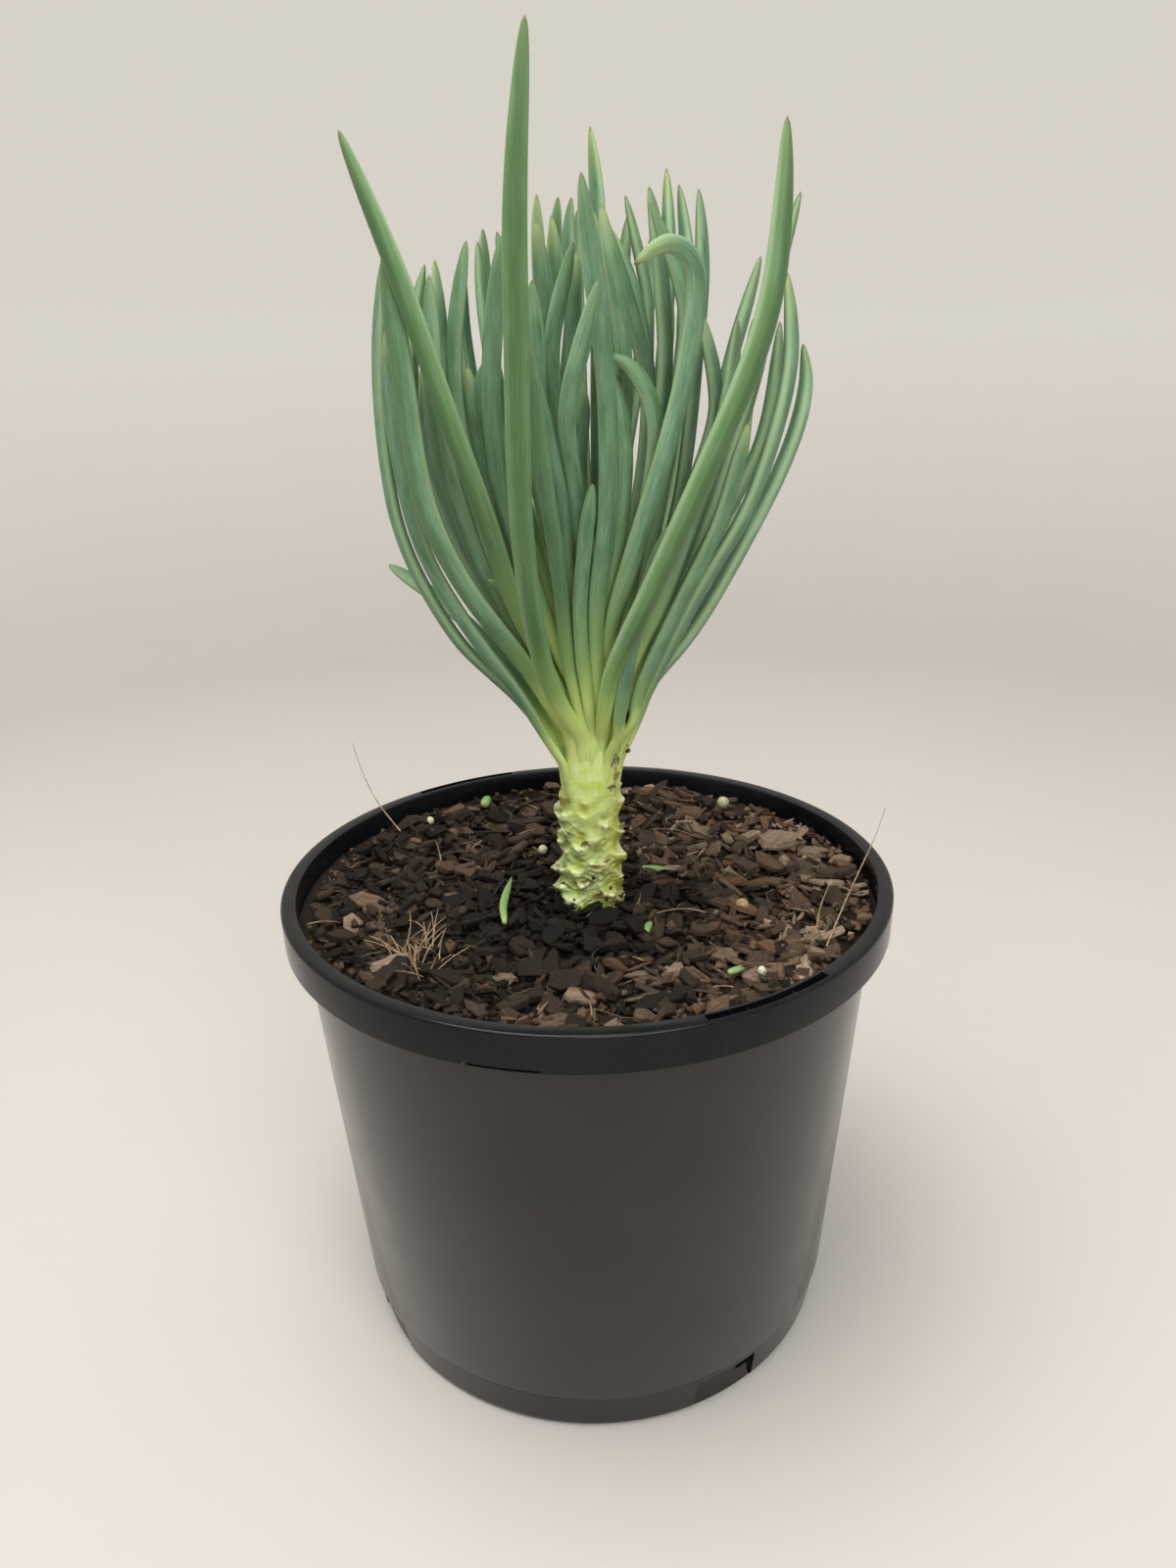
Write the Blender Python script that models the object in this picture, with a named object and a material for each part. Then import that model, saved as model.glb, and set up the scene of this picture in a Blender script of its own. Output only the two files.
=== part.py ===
"""A potted chalk stick: a succulent with upright finger leaves, in a squat nursery pot.

The origin is the bottom centre of the pot, +Z is up and -Y is the front. Sizes are in millimetres
until a mesh is made. An azimuth is in degrees: 0 is the front, and it grows towards +X.
"""

import math

import bmesh
import bpy
import numpy as np
from mathutils import Vector, noise

MM = 0.001

# Pot
POT_DIAMETER = 200.0
POT_HEIGHT = 158.0
WALL = 1.6
RIM_BAND = 11.8
BAND_WALL = 1.5
EDGE_ROUND = 0.7
RIM_RADIUS = POT_DIAMETER / 2
BODY_TOP_RADIUS = RIM_RADIUS - 5.8
BODY_FOOT_RADIUS = RIM_RADIUS - 15.8
FOOT_RADIUS = RIM_RADIUS - 17.5
FOOT_STEP_HEIGHT = 15.0
FLOOR_HEIGHT = 4.0
LEDGE_HEIGHT = POT_HEIGHT - 9.0
LEDGE_RADIUS = RIM_RADIUS - 5.0
LEDGE_SLOPE = 0.6
FOOT_TAPER = 0.8
FOOT_RING = 3.2
STEP_RUN = 2.0
FLOOR_CORNER = 2.0
NOTCH_AZIMUTHS = (30.0, 120.0, -150.0, -60.0)
NOTCH_SPAN = 16.0
NOTCH_HEIGHT = 12.0
NOTCH_DEPTH = 11.0
SLOT_AZIMUTHS = (30.0, -150.0)
SLOT_SPAN = 24.0
SLOT_WIDTH = 1.5
RIB_SPACING = 9.0
RIB_SPAN = 0.6
FLOOR_HOLES = 5
FLOOR_HOLE_DIAMETER = 9.0
FLOOR_HOLE_REACH = 46.0
POT_SIDES = 72

# Potting mix
MIX_HEIGHT = POT_HEIGHT - 10.5
MIX_BUMP = 1.4
MIX_DIP = 2.0
MIX_RISE = 3.0
FIT_GAP = 0.35

# Stem
STEM_DIAMETER = 20.4
STEM_BURIED = 26.0
STEM_SHOULDER = POT_HEIGHT + 45.0
STEM_TOP = POT_HEIGHT + 92.0
STEM_TOP_DIAMETER = 9.0
STEM_FOOT_X = 1.4
SCAR_DEPTH = 0.5
STEM_LEAN = 0.018

# Leaves
LEAF_GAP = 0.55
LEAF_STEPS = 56
LEAF_RINGS = 13
LEAF_SIDES = 7
LEAF_BASE_SHARE = 0.66
LEAF_FLATNESS = 0.9
LEAF_POINT_SHARE = 0.16
TALL_POINT_SHARE = 0.32
SETTLE_ROUNDS = 300
FREE_ROUNDS = 25

# Each leaf: name, thickness, (azimuth, height) of its base on the stem, then (azimuth, reach, height)
# of the points that its centreline passes, up to its tip. Reach is measured from the pot's axis,
# and height from the rim.
LEAVES = (
    ("leaf_tall_front", 6.2, (-16, 54), (-22, 19, 66), (-24, 29, 85), (-20, 42, 120), (-15, 51, 167),
     (-13, 53, 197), (-9, 53, 229)),
    ("leaf_tall_left", 5.8, (-46, 61), (-48, 25, 92), (-46, 35, 119), (-50, 44, 147), (-55, 53, 180),
     (-61, 63, 212)),
    ("leaf_tall_right", 6.6, (24, 53), (27, 21, 72), (35, 32, 93), (43, 49, 129), (50, 62, 164),
     (52, 65, 188), (53, 65, 211)),
    ("leaf_hooked", 5.4, (20, 63), (23, 18, 82), (27, 29, 104), (34, 40, 133), (39, 46, 157),
     (41, 48, 176), (39, 48, 183), (34, 47, 186), (27, 47, 185), (20, 45, 180)),
    ("leaf_front_1", 5.2, (11, 58), (11, 20, 91), (15, 29, 116), (14, 35, 141), (12, 37, 161),
     (8, 36, 182), (5, 36, 201)),
    ("leaf_front_2", 4.4, (-6, 55), (-5, 16, 70), (-9, 24, 102), (-12, 37, 132), (-14, 43, 164)),
    ("leaf_front_3", 4.4, (-2, 64), (-3, 20, 101), (-7, 32, 131), (-15, 37, 159)),
    ("leaf_front_4", 4.8, (3, 64), (-3, 24, 117), (-6, 36, 142), (-2, 40, 154), (2, 42, 162), (8, 44, 177)),
    ("leaf_front_5", 4.2, (4, 56), (2, 20, 85), (5, 27, 110), (9, 32, 128)),
    ("leaf_front_6", 5.0, (-30, 76), (-25, 14, 132), (-22, 17, 167), (-26, 20, 193)),
    ("leaf_left_1", 4.6, (-88, 44), (-85, 22, 62), (-84, 38, 80), (-83, 52, 111), (-82, 55, 141),
     (-82, 54, 164), (-81, 51, 186)),
    ("leaf_left_2", 6.2, (-50, 54), (-56, 21, 75), (-60, 36, 96), (-60, 48, 122), (-60, 52, 160),
     (-61, 54, 186)),
    ("leaf_left_3", 4.9, (-62, 42), (-67, 21, 63), (-69, 34, 83), (-71, 48, 112), (-70, 53, 148),
     (-70, 52, 170)),
    ("leaf_left_4", 5.7, (-62, 57), (-67, 21, 82), (-70, 30, 102), (-68, 38, 130), (-69, 40, 152),
     (-72, 39, 181)),
    ("leaf_left_5", 5.0, (-103, 53), (-98, 30, 92), (-95, 44, 132), (-95, 47, 160), (-96, 41, 185)),
    ("leaf_left_6", 4.4, (-80, 60), (-80, 27, 94), (-80, 37, 117), (-79, 42, 136), (-79, 43, 158)),
    ("leaf_left_7", 4.8, (-66, 66), (-68, 24, 107), (-68, 33, 133), (-67, 36, 151), (-66, 35, 168),
     (-63, 31, 189)),
    ("leaf_left_8", 4.8, (-114, 64), (-112, 20, 122), (-112, 26, 162), (-111, 28, 191)),
    ("leaf_left_9", 4.6, (-54, 70), (-60, 22, 106), (-61, 29, 130), (-61, 33, 158)),
    ("leaf_left_10", 5.2, (-38, 67), (-43, 27, 114), (-42, 32, 134), (-40, 34, 152), (-37, 32, 175),
     (-33, 31, 189)),
    ("leaf_left_11", 4.8, (-118, 45), (-108, 30, 74), (-104, 48, 91), (-104, 62, 100)),
    ("leaf_right_1", 5.0, (26, 72), (29, 20, 112), (31, 26, 146), (27, 29, 161), (21, 30, 179),
     (16, 29, 195)),
    ("leaf_right_2", 4.8, (38, 67), (39, 23, 100), (38, 31, 121), (36, 37, 141), (30, 37, 153),
     (24, 33, 159), (18, 28, 160)),
    ("leaf_right_3", 4.8, (50, 68), (55, 20, 110), (56, 25, 145), (41, 26, 166), (30, 25, 180),
     (21, 24, 194)),
    ("leaf_right_4", 4.4, (74, 71), (76, 20, 122), (74, 23, 150), (62, 22, 168), (54, 20, 180),
     (42, 16, 192)),
    ("leaf_right_5", 5.2, (66, 77), (70, 22, 122), (71, 26, 157), (68, 26, 172), (67, 25, 187),
     (64, 23, 201)),
    ("leaf_right_6", 5.0, (58, 65), (60, 28, 127), (62, 35, 165), (57, 34, 179), (46, 29, 196)),
    ("leaf_right_7", 4.8, (112, 69), (115, 24, 122), (116, 31, 176), (120, 32, 209)),
    ("leaf_right_8", 4.8, (128, 61), (125, 32, 117), (123, 41, 177), (127, 40, 206)),
    ("leaf_right_9", 4.8, (80, 64), (77, 30, 117), (74, 36, 168), (71, 37, 185), (71, 36, 200)),
    ("leaf_right_10", 4.8, (68, 56), (68, 28, 104), (69, 39, 135), (68, 42, 146), (64, 41, 158),
     (61, 38, 171)),
    ("leaf_right_11", 4.8, (88, 56), (85, 32, 110), (81, 41, 142), (80, 44, 157), (81, 52, 184)),
    ("leaf_right_12", 5.0, (106, 51), (103, 37, 102), (103, 54, 149), (103, 60, 178), (102, 67, 202)),
    ("leaf_right_13", 5.2, (78, 48), (76, 36, 93), (79, 50, 117), (80, 59, 145), (81, 61, 162),
     (80, 59, 180)),
    ("leaf_right_14", 5.0, (94, 44), (92, 34, 96), (91, 51, 127), (92, 57, 145), (92, 59, 168)),
    ("leaf_right_15", 5.4, (110, 42), (104, 18, 59), (99, 37, 82), (98, 57, 116), (97, 66, 137),
     (97, 69, 152), (96, 67, 162)),
    ("leaf_right_16", 5.2, (54, 49), (61, 18, 68), (67, 30, 91), (68, 43, 115), (69, 51, 142)),
    ("leaf_right_17", 4.8, (34, 47), (32, 19, 61), (39, 27, 92), (52, 33, 115)),
    ("leaf_right_18", 4.8, (60, 58), (62, 34, 106), (63, 46, 145), (63, 49, 168)),
    ("leaf_back_1", 4.8, (162, 63), (165, 28, 142), (165, 33, 197), (169, 35, 223)),
    ("leaf_back_2", 4.8, (-152, 78), (-158, 20, 142), (-164, 22, 177), (-171, 20, 203)),
    ("leaf_back_3", 5.2, (144, 53), (142, 34, 90), (140, 52, 132), (141, 57, 188)),
    ("leaf_back_4", 5.2, (172, 47), (168, 34, 78), (166, 55, 117), (164, 61, 174)),
    ("leaf_back_5", 5.0, (-168, 55), (-165, 33, 97), (-166, 50, 142), (-164, 55, 185)),
    ("leaf_back_6", 5.0, (-144, 46), (-140, 34, 74), (-138, 55, 112), (-138, 60, 164)),
    ("leaf_back_7", 4.8, (-130, 56), (-127, 32, 104), (-125, 47, 148), (-124, 49, 188)),
    ("leaf_back_8", 5.0, (126, 45), (120, 32, 70), (117, 55, 110), (118, 63, 170)),
    ("leaf_back_9", 4.8, (152, 70), (148, 26, 122), (146, 40, 167), (145, 43, 194)),
    ("leaf_back_10", 4.8, (-176, 64), (-178, 26, 117), (178, 40, 160), (179, 45, 194)),
    ("leaf_back_11", 4.6, (-134, 68), (-135, 24, 122), (-134, 35, 164), (-136, 37, 196)),
)

# Loose pieces on the mix: name, azimuth and share of the way from the pot's axis to its wall, then
# length, width, height, turn about +Z, colour
BARK_CHUNKS = (
    ("bark_plate_large", (113, 0.80), 24.0, 15.0, 3.2, 20.0, (0.34, 0.25, 0.17)),
    ("bark_plate_small", (146, 0.78), 15.0, 11.0, 3.0, -35.0, (0.26, 0.14, 0.09)),
    ("bark_chip_front", (24, 0.64), 11.0, 8.0, 2.6, 55.0, (0.30, 0.25, 0.20)),
)
# Name, azimuth and share, length, thickness, turn about +Z, colour
FALLEN_LEAVES = (
    ("fallen_leaf_front", (-66, 0.285), 27.0, 4.2, 88.0, (0.42, 0.50, 0.28)),
    ("fallen_leaf_side", (119, 0.295), 11.0, 3.6, -25.0, (0.40, 0.42, 0.20)),
)
# Name, azimuth and share, diameter, colour
FERTILISER_BEADS = (
    ("fertiliser_bead_back", (140, 0.885), 4.6, (0.55, 0.62, 0.40)),
    ("fertiliser_bead_side", (70, 0.56), 4.4, (0.50, 0.38, 0.16)),
)
REST_GAP = 0.35


def place(azimuth, reach, height):
    turn = math.radians(azimuth)
    return np.array((reach * math.sin(turn), -reach * math.cos(turn), height))


def clear_scene():
    for thing in list(bpy.data.objects):
        bpy.data.objects.remove(thing, do_unlink=True)


def plain_material(name, colour, roughness):
    material = bpy.data.materials.new(name)
    material.use_nodes = True
    shader = material.node_tree.nodes["Principled BSDF"]
    shader.inputs["Base Color"].default_value = (*colour, 1.0)
    shader.inputs["Roughness"].default_value = roughness
    shader.inputs["Metallic"].default_value = 0.0
    return material


def add_object(name, points, faces, material, parent=None, sharp_angle=40.0):
    """An object from points in millimetres, with its normals made to face outwards."""
    mesh = bpy.data.meshes.new(name)
    mesh.from_pydata([Vector(point) * MM for point in points], [], faces)
    shape = bmesh.new()
    shape.from_mesh(mesh)
    bmesh.ops.recalc_face_normals(shape, faces=shape.faces)
    shape.to_mesh(mesh)
    shape.free()
    mesh.shade_smooth()
    mesh.set_sharp_from_angle(angle=math.radians(sharp_angle))
    if material:
        mesh.materials.append(material)
    thing = bpy.data.objects.new(name, mesh)
    bpy.context.scene.collection.objects.link(thing)
    thing.parent = parent
    return thing


def stacked_rings(rings):
    """Points and faces of a closed skin through rings of equal length, its two ends filled."""
    sides = len(rings[0])
    points = [point for ring in rings for point in ring]
    faces = []
    for row in range(len(rings) - 1):
        for side in range(sides):
            after = (side + 1) % sides
            low, high = row * sides, (row + 1) * sides
            faces.append((low + side, low + after, high + after, high + side))
    faces.append(tuple(range(sides))[::-1])
    faces.append(tuple(range(len(points) - sides, len(points))))
    return points, faces


def turned(profile, sides, centre=(0.0, 0.0)):
    """Points and faces of a solid turned about a vertical axis. The profile is a closed outline of
    (radius, height), and its first and last points lie on the axis."""
    turns = [2 * math.pi * side / sides for side in range(sides)]
    points = [(centre[0], centre[1], profile[0][1])]
    for radius, height in profile[1:-1]:
        for turn in turns:
            points.append((centre[0] + radius * math.cos(turn), centre[1] + radius * math.sin(turn), height))
    points.append((centre[0], centre[1], profile[-1][1]))
    last = len(points) - 1
    faces = []
    for side in range(sides):
        after = (side + 1) % sides
        faces.append((0, 1 + side, 1 + after))
        for row in range(len(profile) - 3):
            low, high = 1 + row * sides, 1 + (row + 1) * sides
            faces.append((low + side, high + side, high + after, low + after))
        faces.append((last, last - sides + after, last - sides + side))
    return points, faces


def sector(inner, outer, bottom, top, azimuth, span, steps=6):
    """Points and faces of a block between two radii and two heights, over a span of azimuth."""
    rings = []
    for step in range(steps + 1):
        angle = azimuth - span / 2 + span * step / steps
        corners = ((inner, bottom), (outer, bottom), (outer, top), (inner, top))
        rings.append([place(angle, reach, height) for reach, height in corners])
    return stacked_rings(rings)


def combine(thing, other, operation):
    other.hide_render = True
    other.display_type = "WIRE"
    modifier = thing.modifiers.new(other.name, "BOOLEAN")
    modifier.operation = operation
    modifier.object = other


def body_radius(height):
    """Outer radius of the tapered body between the foot step and the ledge."""
    share = (height - FOOT_STEP_HEIGHT) / (LEDGE_HEIGHT - FOOT_STEP_HEIGHT)
    return (1 - share) * BODY_FOOT_RADIUS + share * BODY_TOP_RADIUS


def inside_wall(gap=0.0):
    """(radius, height) down the pot's inside from the ledge to the floor, drawn in by a gap."""
    floor_top = FLOOR_HEIGHT + WALL
    inset = WALL + gap
    return [
        (LEDGE_RADIUS - gap, LEDGE_HEIGHT + LEDGE_SLOPE + gap),
        (body_radius(LEDGE_HEIGHT) - inset, LEDGE_HEIGHT - LEDGE_SLOPE + gap),
        (body_radius(FOOT_STEP_HEIGHT) - inset, FOOT_STEP_HEIGHT),
        (FOOT_RADIUS + FOOT_TAPER - inset, FOOT_STEP_HEIGHT - STEP_RUN),
        (FOOT_RADIUS - inset, floor_top + FLOOR_CORNER),
        (FOOT_RADIUS - FLOOR_CORNER - inset, floor_top + gap),
    ]


def pot_profile():
    land = POT_HEIGHT - WALL
    band_foot = POT_HEIGHT - RIM_BAND
    edge = []
    for turn in np.linspace(0, math.pi / 2, 4):
        out, up = EDGE_ROUND * math.cos(turn), EDGE_ROUND * math.sin(turn)
        edge.append((RIM_RADIUS - EDGE_ROUND + out, POT_HEIGHT - EDGE_ROUND + up))
    return [
        (0.0, FLOOR_HEIGHT),
        (FOOT_RADIUS - FOOT_RING - 1.2, FLOOR_HEIGHT),
        (FOOT_RADIUS - FOOT_RING, 0.6),
        (FOOT_RADIUS - FOOT_RING + 0.6, 0.0),
        (FOOT_RADIUS - 1.1, 0.0),
        (FOOT_RADIUS - 0.3, 0.8),
        (FOOT_RADIUS, 2.6),
        (FOOT_RADIUS + FOOT_TAPER, FOOT_STEP_HEIGHT - 0.6),
        (BODY_FOOT_RADIUS, FOOT_STEP_HEIGHT),
        (body_radius(LEDGE_HEIGHT - WALL), LEDGE_HEIGHT - WALL),
        (LEDGE_RADIUS + WALL, LEDGE_HEIGHT),
        (LEDGE_RADIUS + WALL, land),
        (RIM_RADIUS - BAND_WALL, land),
        (RIM_RADIUS - BAND_WALL + 0.2, band_foot),
        (RIM_RADIUS - 0.2, band_foot),
        *edge,
        (LEDGE_RADIUS + EDGE_ROUND, POT_HEIGHT),
        (LEDGE_RADIUS, POT_HEIGHT - EDGE_ROUND),
        *inside_wall(),
        (0.0, FLOOR_HEIGHT + WALL),
    ]


def add_label_slot(pot, number, azimuth, parent):
    """A slot through the rim's top land for a plant label, with two ribs across the channel below."""
    inner, outer = LEDGE_RADIUS + WALL, RIM_RADIUS - BAND_WALL
    middle = (inner + outer) / 2
    low, high = POT_HEIGHT - 2 * WALL, POT_HEIGHT + WALL
    cut = sector(middle - SLOT_WIDTH / 2, middle + SLOT_WIDTH / 2, low, high, azimuth, SLOT_SPAN, 12)
    combine(pot, add_object(f"slot_cutter_{number}", *cut, None, parent), "DIFFERENCE")
    bite = 0.8
    for side in (-1, 1):
        rib = sector(
            inner - bite, outer + bite, LEDGE_HEIGHT + WALL, POT_HEIGHT - bite,
            azimuth + side * RIB_SPACING / 2, RIB_SPAN, 1,
        )
        combine(pot, add_object(f"slot_rib_{number}_{side + 1}", *rib, None, parent), "UNION")


def add_pot(parent):
    material = plain_material("pot_plastic", (0.045, 0.045, 0.045), 0.42)
    pot = add_object("nursery_pot", *turned(pot_profile(), POT_SIDES), material, parent)
    for number, azimuth in enumerate(SLOT_AZIMUTHS, 1):
        add_label_slot(pot, number, azimuth, parent)
    for number, azimuth in enumerate(NOTCH_AZIMUTHS, 1):
        cut = sector(
            FOOT_RADIUS - NOTCH_DEPTH, BODY_FOOT_RADIUS + WALL, -WALL, NOTCH_HEIGHT, azimuth, NOTCH_SPAN
        )
        combine(pot, add_object(f"drain_notch_cutter_{number}", *cut, None, parent), "DIFFERENCE")
    low, high = FLOOR_HEIGHT - 2 * WALL, FLOOR_HEIGHT + 2 * WALL
    radius = FLOOR_HOLE_DIAMETER / 2
    for number in range(FLOOR_HOLES):
        centre = place(33 + 360 * number / FLOOR_HOLES, FLOOR_HOLE_REACH, 0)[:2]
        cut = turned(((0, low), (radius, low), (radius, high), (0, high)), 16, centre)
        combine(pot, add_object(f"floor_hole_cutter_{number + 1}", *cut, None, parent), "DIFFERENCE")


def mix_surface(x, y):
    """Height of the potting mix: rough, a little lower round the stem and higher at the wall."""
    reach = math.hypot(x, y)
    dip = MIX_DIP * math.exp(-((reach / 30) ** 2))
    rise = MIX_RISE * min(1.0, max(0.0, (reach / LEDGE_RADIUS - 0.5) / 0.45)) ** 2
    bump = noise.noise(Vector((x / 14, y / 14, 2.0))) + 0.5 * noise.noise(Vector((x / 6, y / 6, 7.0)))
    fade = min(1.0, (LEDGE_RADIUS - reach) / 12)
    return MIX_HEIGHT - dip + rise + MIX_BUMP * bump * fade


def stem_centre(height):
    return STEM_FOOT_X + STEM_LEAN * (height - MIX_HEIGHT)


def stem_radius(height):
    share = np.clip((height - STEM_SHOULDER) / (STEM_TOP - STEM_SHOULDER), 0.0, 1.0)
    return (1 - share**1.3) * STEM_DIAMETER / 2 + share**1.3 * STEM_TOP_DIAMETER / 2


def add_mix(parent):
    """One solid that fills the pot, with a socket for the buried foot of the stem."""
    sides, rows = 44, 9
    socket = STEM_DIAMETER / 2 + FIT_GAP
    socket_floor = MIX_HEIGHT - STEM_BURIED - FIT_GAP
    skin = inside_wall(FIT_GAP)
    turns = [2 * math.pi * side / sides for side in range(sides)]

    def ring(radius, height, centre):
        return [(centre + radius * math.cos(turn), radius * math.sin(turn), height) for turn in turns]

    middle = stem_centre(MIX_HEIGHT - STEM_BURIED / 2)
    rings = [ring(socket, socket_floor, middle)]
    for row in range(rows + 1):
        share = row / rows
        radius = socket + (skin[0][0] - socket) * share
        flat = ring(radius, 0.0, middle * (1 - share))
        rings.append([(x, y, mix_surface(x, y)) for x, y, _ in flat])
    rings += [ring(radius, height, 0.0) for radius, height in skin]
    material = plain_material("potting_mix", (0.09, 0.055, 0.035), 0.95)
    add_object("potting_mix", *stacked_rings(rings), material, parent, 180.0)


def add_stem(parent):
    """One solid from its buried foot to the growing tip, with shallow hollows between the leaf scars."""
    sides = 20
    foot = MIX_HEIGHT - STEM_BURIED
    heights = [foot, *np.linspace(MIX_HEIGHT, STEM_SHOULDER, 6), *np.linspace(STEM_SHOULDER, STEM_TOP, 6)[1:]]
    rings = []
    for row, height in enumerate(heights):
        bare = MIX_HEIGHT < height < STEM_SHOULDER
        ring = []
        for side in range(sides):
            turn = 2 * math.pi * side / sides
            hollow = SCAR_DEPTH * (0.5 + 0.5 * math.sin(3 * turn + 0.9 * row)) if bare else 0.0
            radius = stem_radius(height) - hollow
            ring.append((stem_centre(height) + radius * math.cos(turn), radius * math.sin(turn), height))
        rings.append(ring)
    points, faces = stacked_rings(rings)
    points.append((stem_centre(STEM_TOP), 0.0, STEM_TOP + STEM_TOP_DIAMETER / 4))
    cap = faces.pop()
    faces += [(cap[side], cap[(side + 1) % sides], len(points) - 1) for side in range(sides)]
    add_object("stem", points, faces, plain_material("stem_skin", (0.45, 0.47, 0.22), 0.55), parent, 180.0)


def smooth_path(stops, count):
    """Points at equal steps along a Catmull-Rom curve through the stops."""
    stops = np.array(stops)
    stops = np.vstack((2 * stops[0] - stops[1], stops, 2 * stops[-1] - stops[-2]))
    fine = []
    for before, start, end, after in zip(stops, stops[1:], stops[2:], stops[3:]):
        for t in np.linspace(0, 1, 16, endpoint=False):
            fine.append(
                0.5 * (2 * start + (end - before) * t + (2 * before - 5 * start + 4 * end - after) * t**2
                       + (3 * start - before - 3 * end + after) * t**3)
            )
    fine.append(stops[-2])
    fine = np.array(fine)
    run = np.concatenate(([0.0], np.cumsum(np.linalg.norm(np.diff(fine, axis=0), axis=1))))
    where = np.linspace(0, run[-1], count)
    return np.column_stack([np.interp(where, run, fine[:, axis]) for axis in range(3)])


def leaf_radius(share, thickness, point_share):
    """Radius along a leaf: narrow where it clasps the stem, full from a third up, and a pointed tip."""
    swell = np.clip(share / 0.35, 0, 1)
    swell = LEAF_BASE_SHARE + (1 - LEAF_BASE_SHARE) * swell * swell * (3 - 2 * swell)
    point = np.clip((1 - share) / point_share, 0.0, 1.0)
    return thickness / 2 * swell * np.maximum(0.1, (point * (2 - point)) ** 0.55)


def point_share_of(name):
    """The share of a leaf's length that its point takes: the tallest leaves narrow more slowly."""
    return TALL_POINT_SHARE if name.startswith("leaf_tall") else LEAF_POINT_SHARE


def leaf_centreline(thickness, base, stops):
    azimuth, height = base
    height += POT_HEIGHT
    foot = place(azimuth, stem_radius(height) + thickness * LEAF_BASE_SHARE / 2 + LEAF_GAP, height)
    foot[0] += stem_centre(height)
    path = [place(turn, reach, POT_HEIGHT + rise) for turn, reach, rise in stops]
    return smooth_path([foot, *path], LEAF_STEPS)


def settled(lines, radii):
    """The centrelines moved as little as keeps every leaf clear of its neighbours and of the stem."""
    lines = np.array(lines)
    radii = np.array(radii)
    count, steps = radii.shape
    goal = lines.copy()
    owner = np.repeat(np.arange(count), steps)
    flat_radii = radii.reshape(-1)
    first = second = None
    for turn in range(SETTLE_ROUNDS):
        flat = lines.reshape(-1, 3)
        if turn % 8 == 0:
            square = (flat**2).sum(axis=1)
            gaps = square[:, None] + square[None, :] - 2 * flat @ flat.T
            limit = (flat_radii[:, None] + flat_radii[None, :] + LEAF_GAP + 2.0) ** 2
            first, second = np.nonzero(np.triu((gaps < limit) & (owner[:, None] != owner[None, :])))
        apart = flat[first] - flat[second]
        distance = np.linalg.norm(apart, axis=1) + 1e-9
        short = flat_radii[first] + flat_radii[second] + LEAF_GAP - distance
        close = short > 0
        push = apart[close] * (0.5 * short[close] / distance[close])[:, None]
        shift = np.zeros_like(flat)
        weight = np.zeros(len(flat))
        np.add.at(shift, first[close], push)
        np.add.at(shift, second[close], -push)
        np.add.at(weight, first[close], 1)
        np.add.at(weight, second[close], 1)
        flat = flat + shift / np.maximum(1, weight**0.5)[:, None]
        lines = flat.reshape(count, steps, 3)
        if turn < SETTLE_ROUNDS - FREE_ROUNDS:
            offset = lines - goal
            for _ in range(3):
                padded = np.concatenate((offset[:, :1], offset, offset[:, -1:]), axis=1)
                offset = 0.5 * offset + 0.25 * (padded[:, :-2] + padded[:, 2:])
            lines = goal + 0.998 * offset
        away = lines[:, :, :2] - np.stack((stem_centre(lines[:, :, 2]), np.zeros((count, steps))), axis=2)
        reach = np.linalg.norm(away, axis=2)
        need = stem_radius(lines[:, :, 2]) + radii + LEAF_GAP
        below_top = lines[:, :, 2] < STEM_TOP + 6
        lack = np.where(below_top & (reach < need), need - reach, 0.0)
        lines[:, :, :2] += away / (reach[:, :, None] + 1e-9) * lack[:, :, None]
    return lines


def leaf_rings(line, thickness, point_share, ring_count, sides):
    """Rings of points round a leaf's centreline, a little flatter on the side that faces the stem."""
    shares = np.linspace(0, 1, ring_count)
    shares = shares - 0.09 * np.sin(2 * math.pi * shares)
    shares[-1] = 1.0
    steps = np.linspace(0, 1, len(line))
    middle = np.column_stack([np.interp(shares, steps, line[:, axis]) for axis in range(3)])
    along = np.gradient(middle, axis=0)
    along /= np.linalg.norm(along, axis=1)[:, None]
    side = np.cross((0, 0, 1), middle[1] * (1, 1, 0))
    rings = []
    for centre, direction, radius in zip(middle, along, leaf_radius(shares, thickness, point_share)):
        side = side - direction * np.dot(side, direction)
        side /= np.linalg.norm(side)
        face = np.cross(side, direction)
        turns = [2 * math.pi * corner / sides for corner in range(sides)]
        wide, deep = radius * side, radius * LEAF_FLATNESS * face
        rings.append([centre + math.cos(turn) * wide + math.sin(turn) * deep for turn in turns])
    return rings


def add_leaves(parent):
    greens = ((0.30, 0.40, 0.30), (0.36, 0.45, 0.30), (0.42, 0.50, 0.28))
    steps = np.linspace(0, 1, LEAF_STEPS)
    lines = [leaf_centreline(thickness, base, stops) for _, thickness, base, *stops in LEAVES]
    radii = [leaf_radius(steps, thickness, point_share_of(name)) for name, thickness, *_ in LEAVES]
    for number, (line, leaf) in enumerate(zip(settled(lines, radii), LEAVES)):
        name, thickness = leaf[:2]
        rings = leaf_rings(line, thickness, point_share_of(name), LEAF_RINGS, LEAF_SIDES)
        points, faces = stacked_rings(rings)
        add_object(name, points, faces, plain_material(name, greens[number % 3], 0.6), parent, 180.0)


def spot_on_mix(azimuth, share):
    return place(azimuth, share * LEDGE_RADIUS, 0.0)


def resting_height(centre, reach):
    """The highest point of the mix under a loose piece, plus the gap that it rests with."""
    spots = [
        mix_surface(centre[0] + reach * step_x / 4, centre[1] + reach * step_y / 4)
        for step_x in range(-4, 5)
        for step_y in range(-4, 5)
    ]
    return max(spots) + REST_GAP


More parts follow.
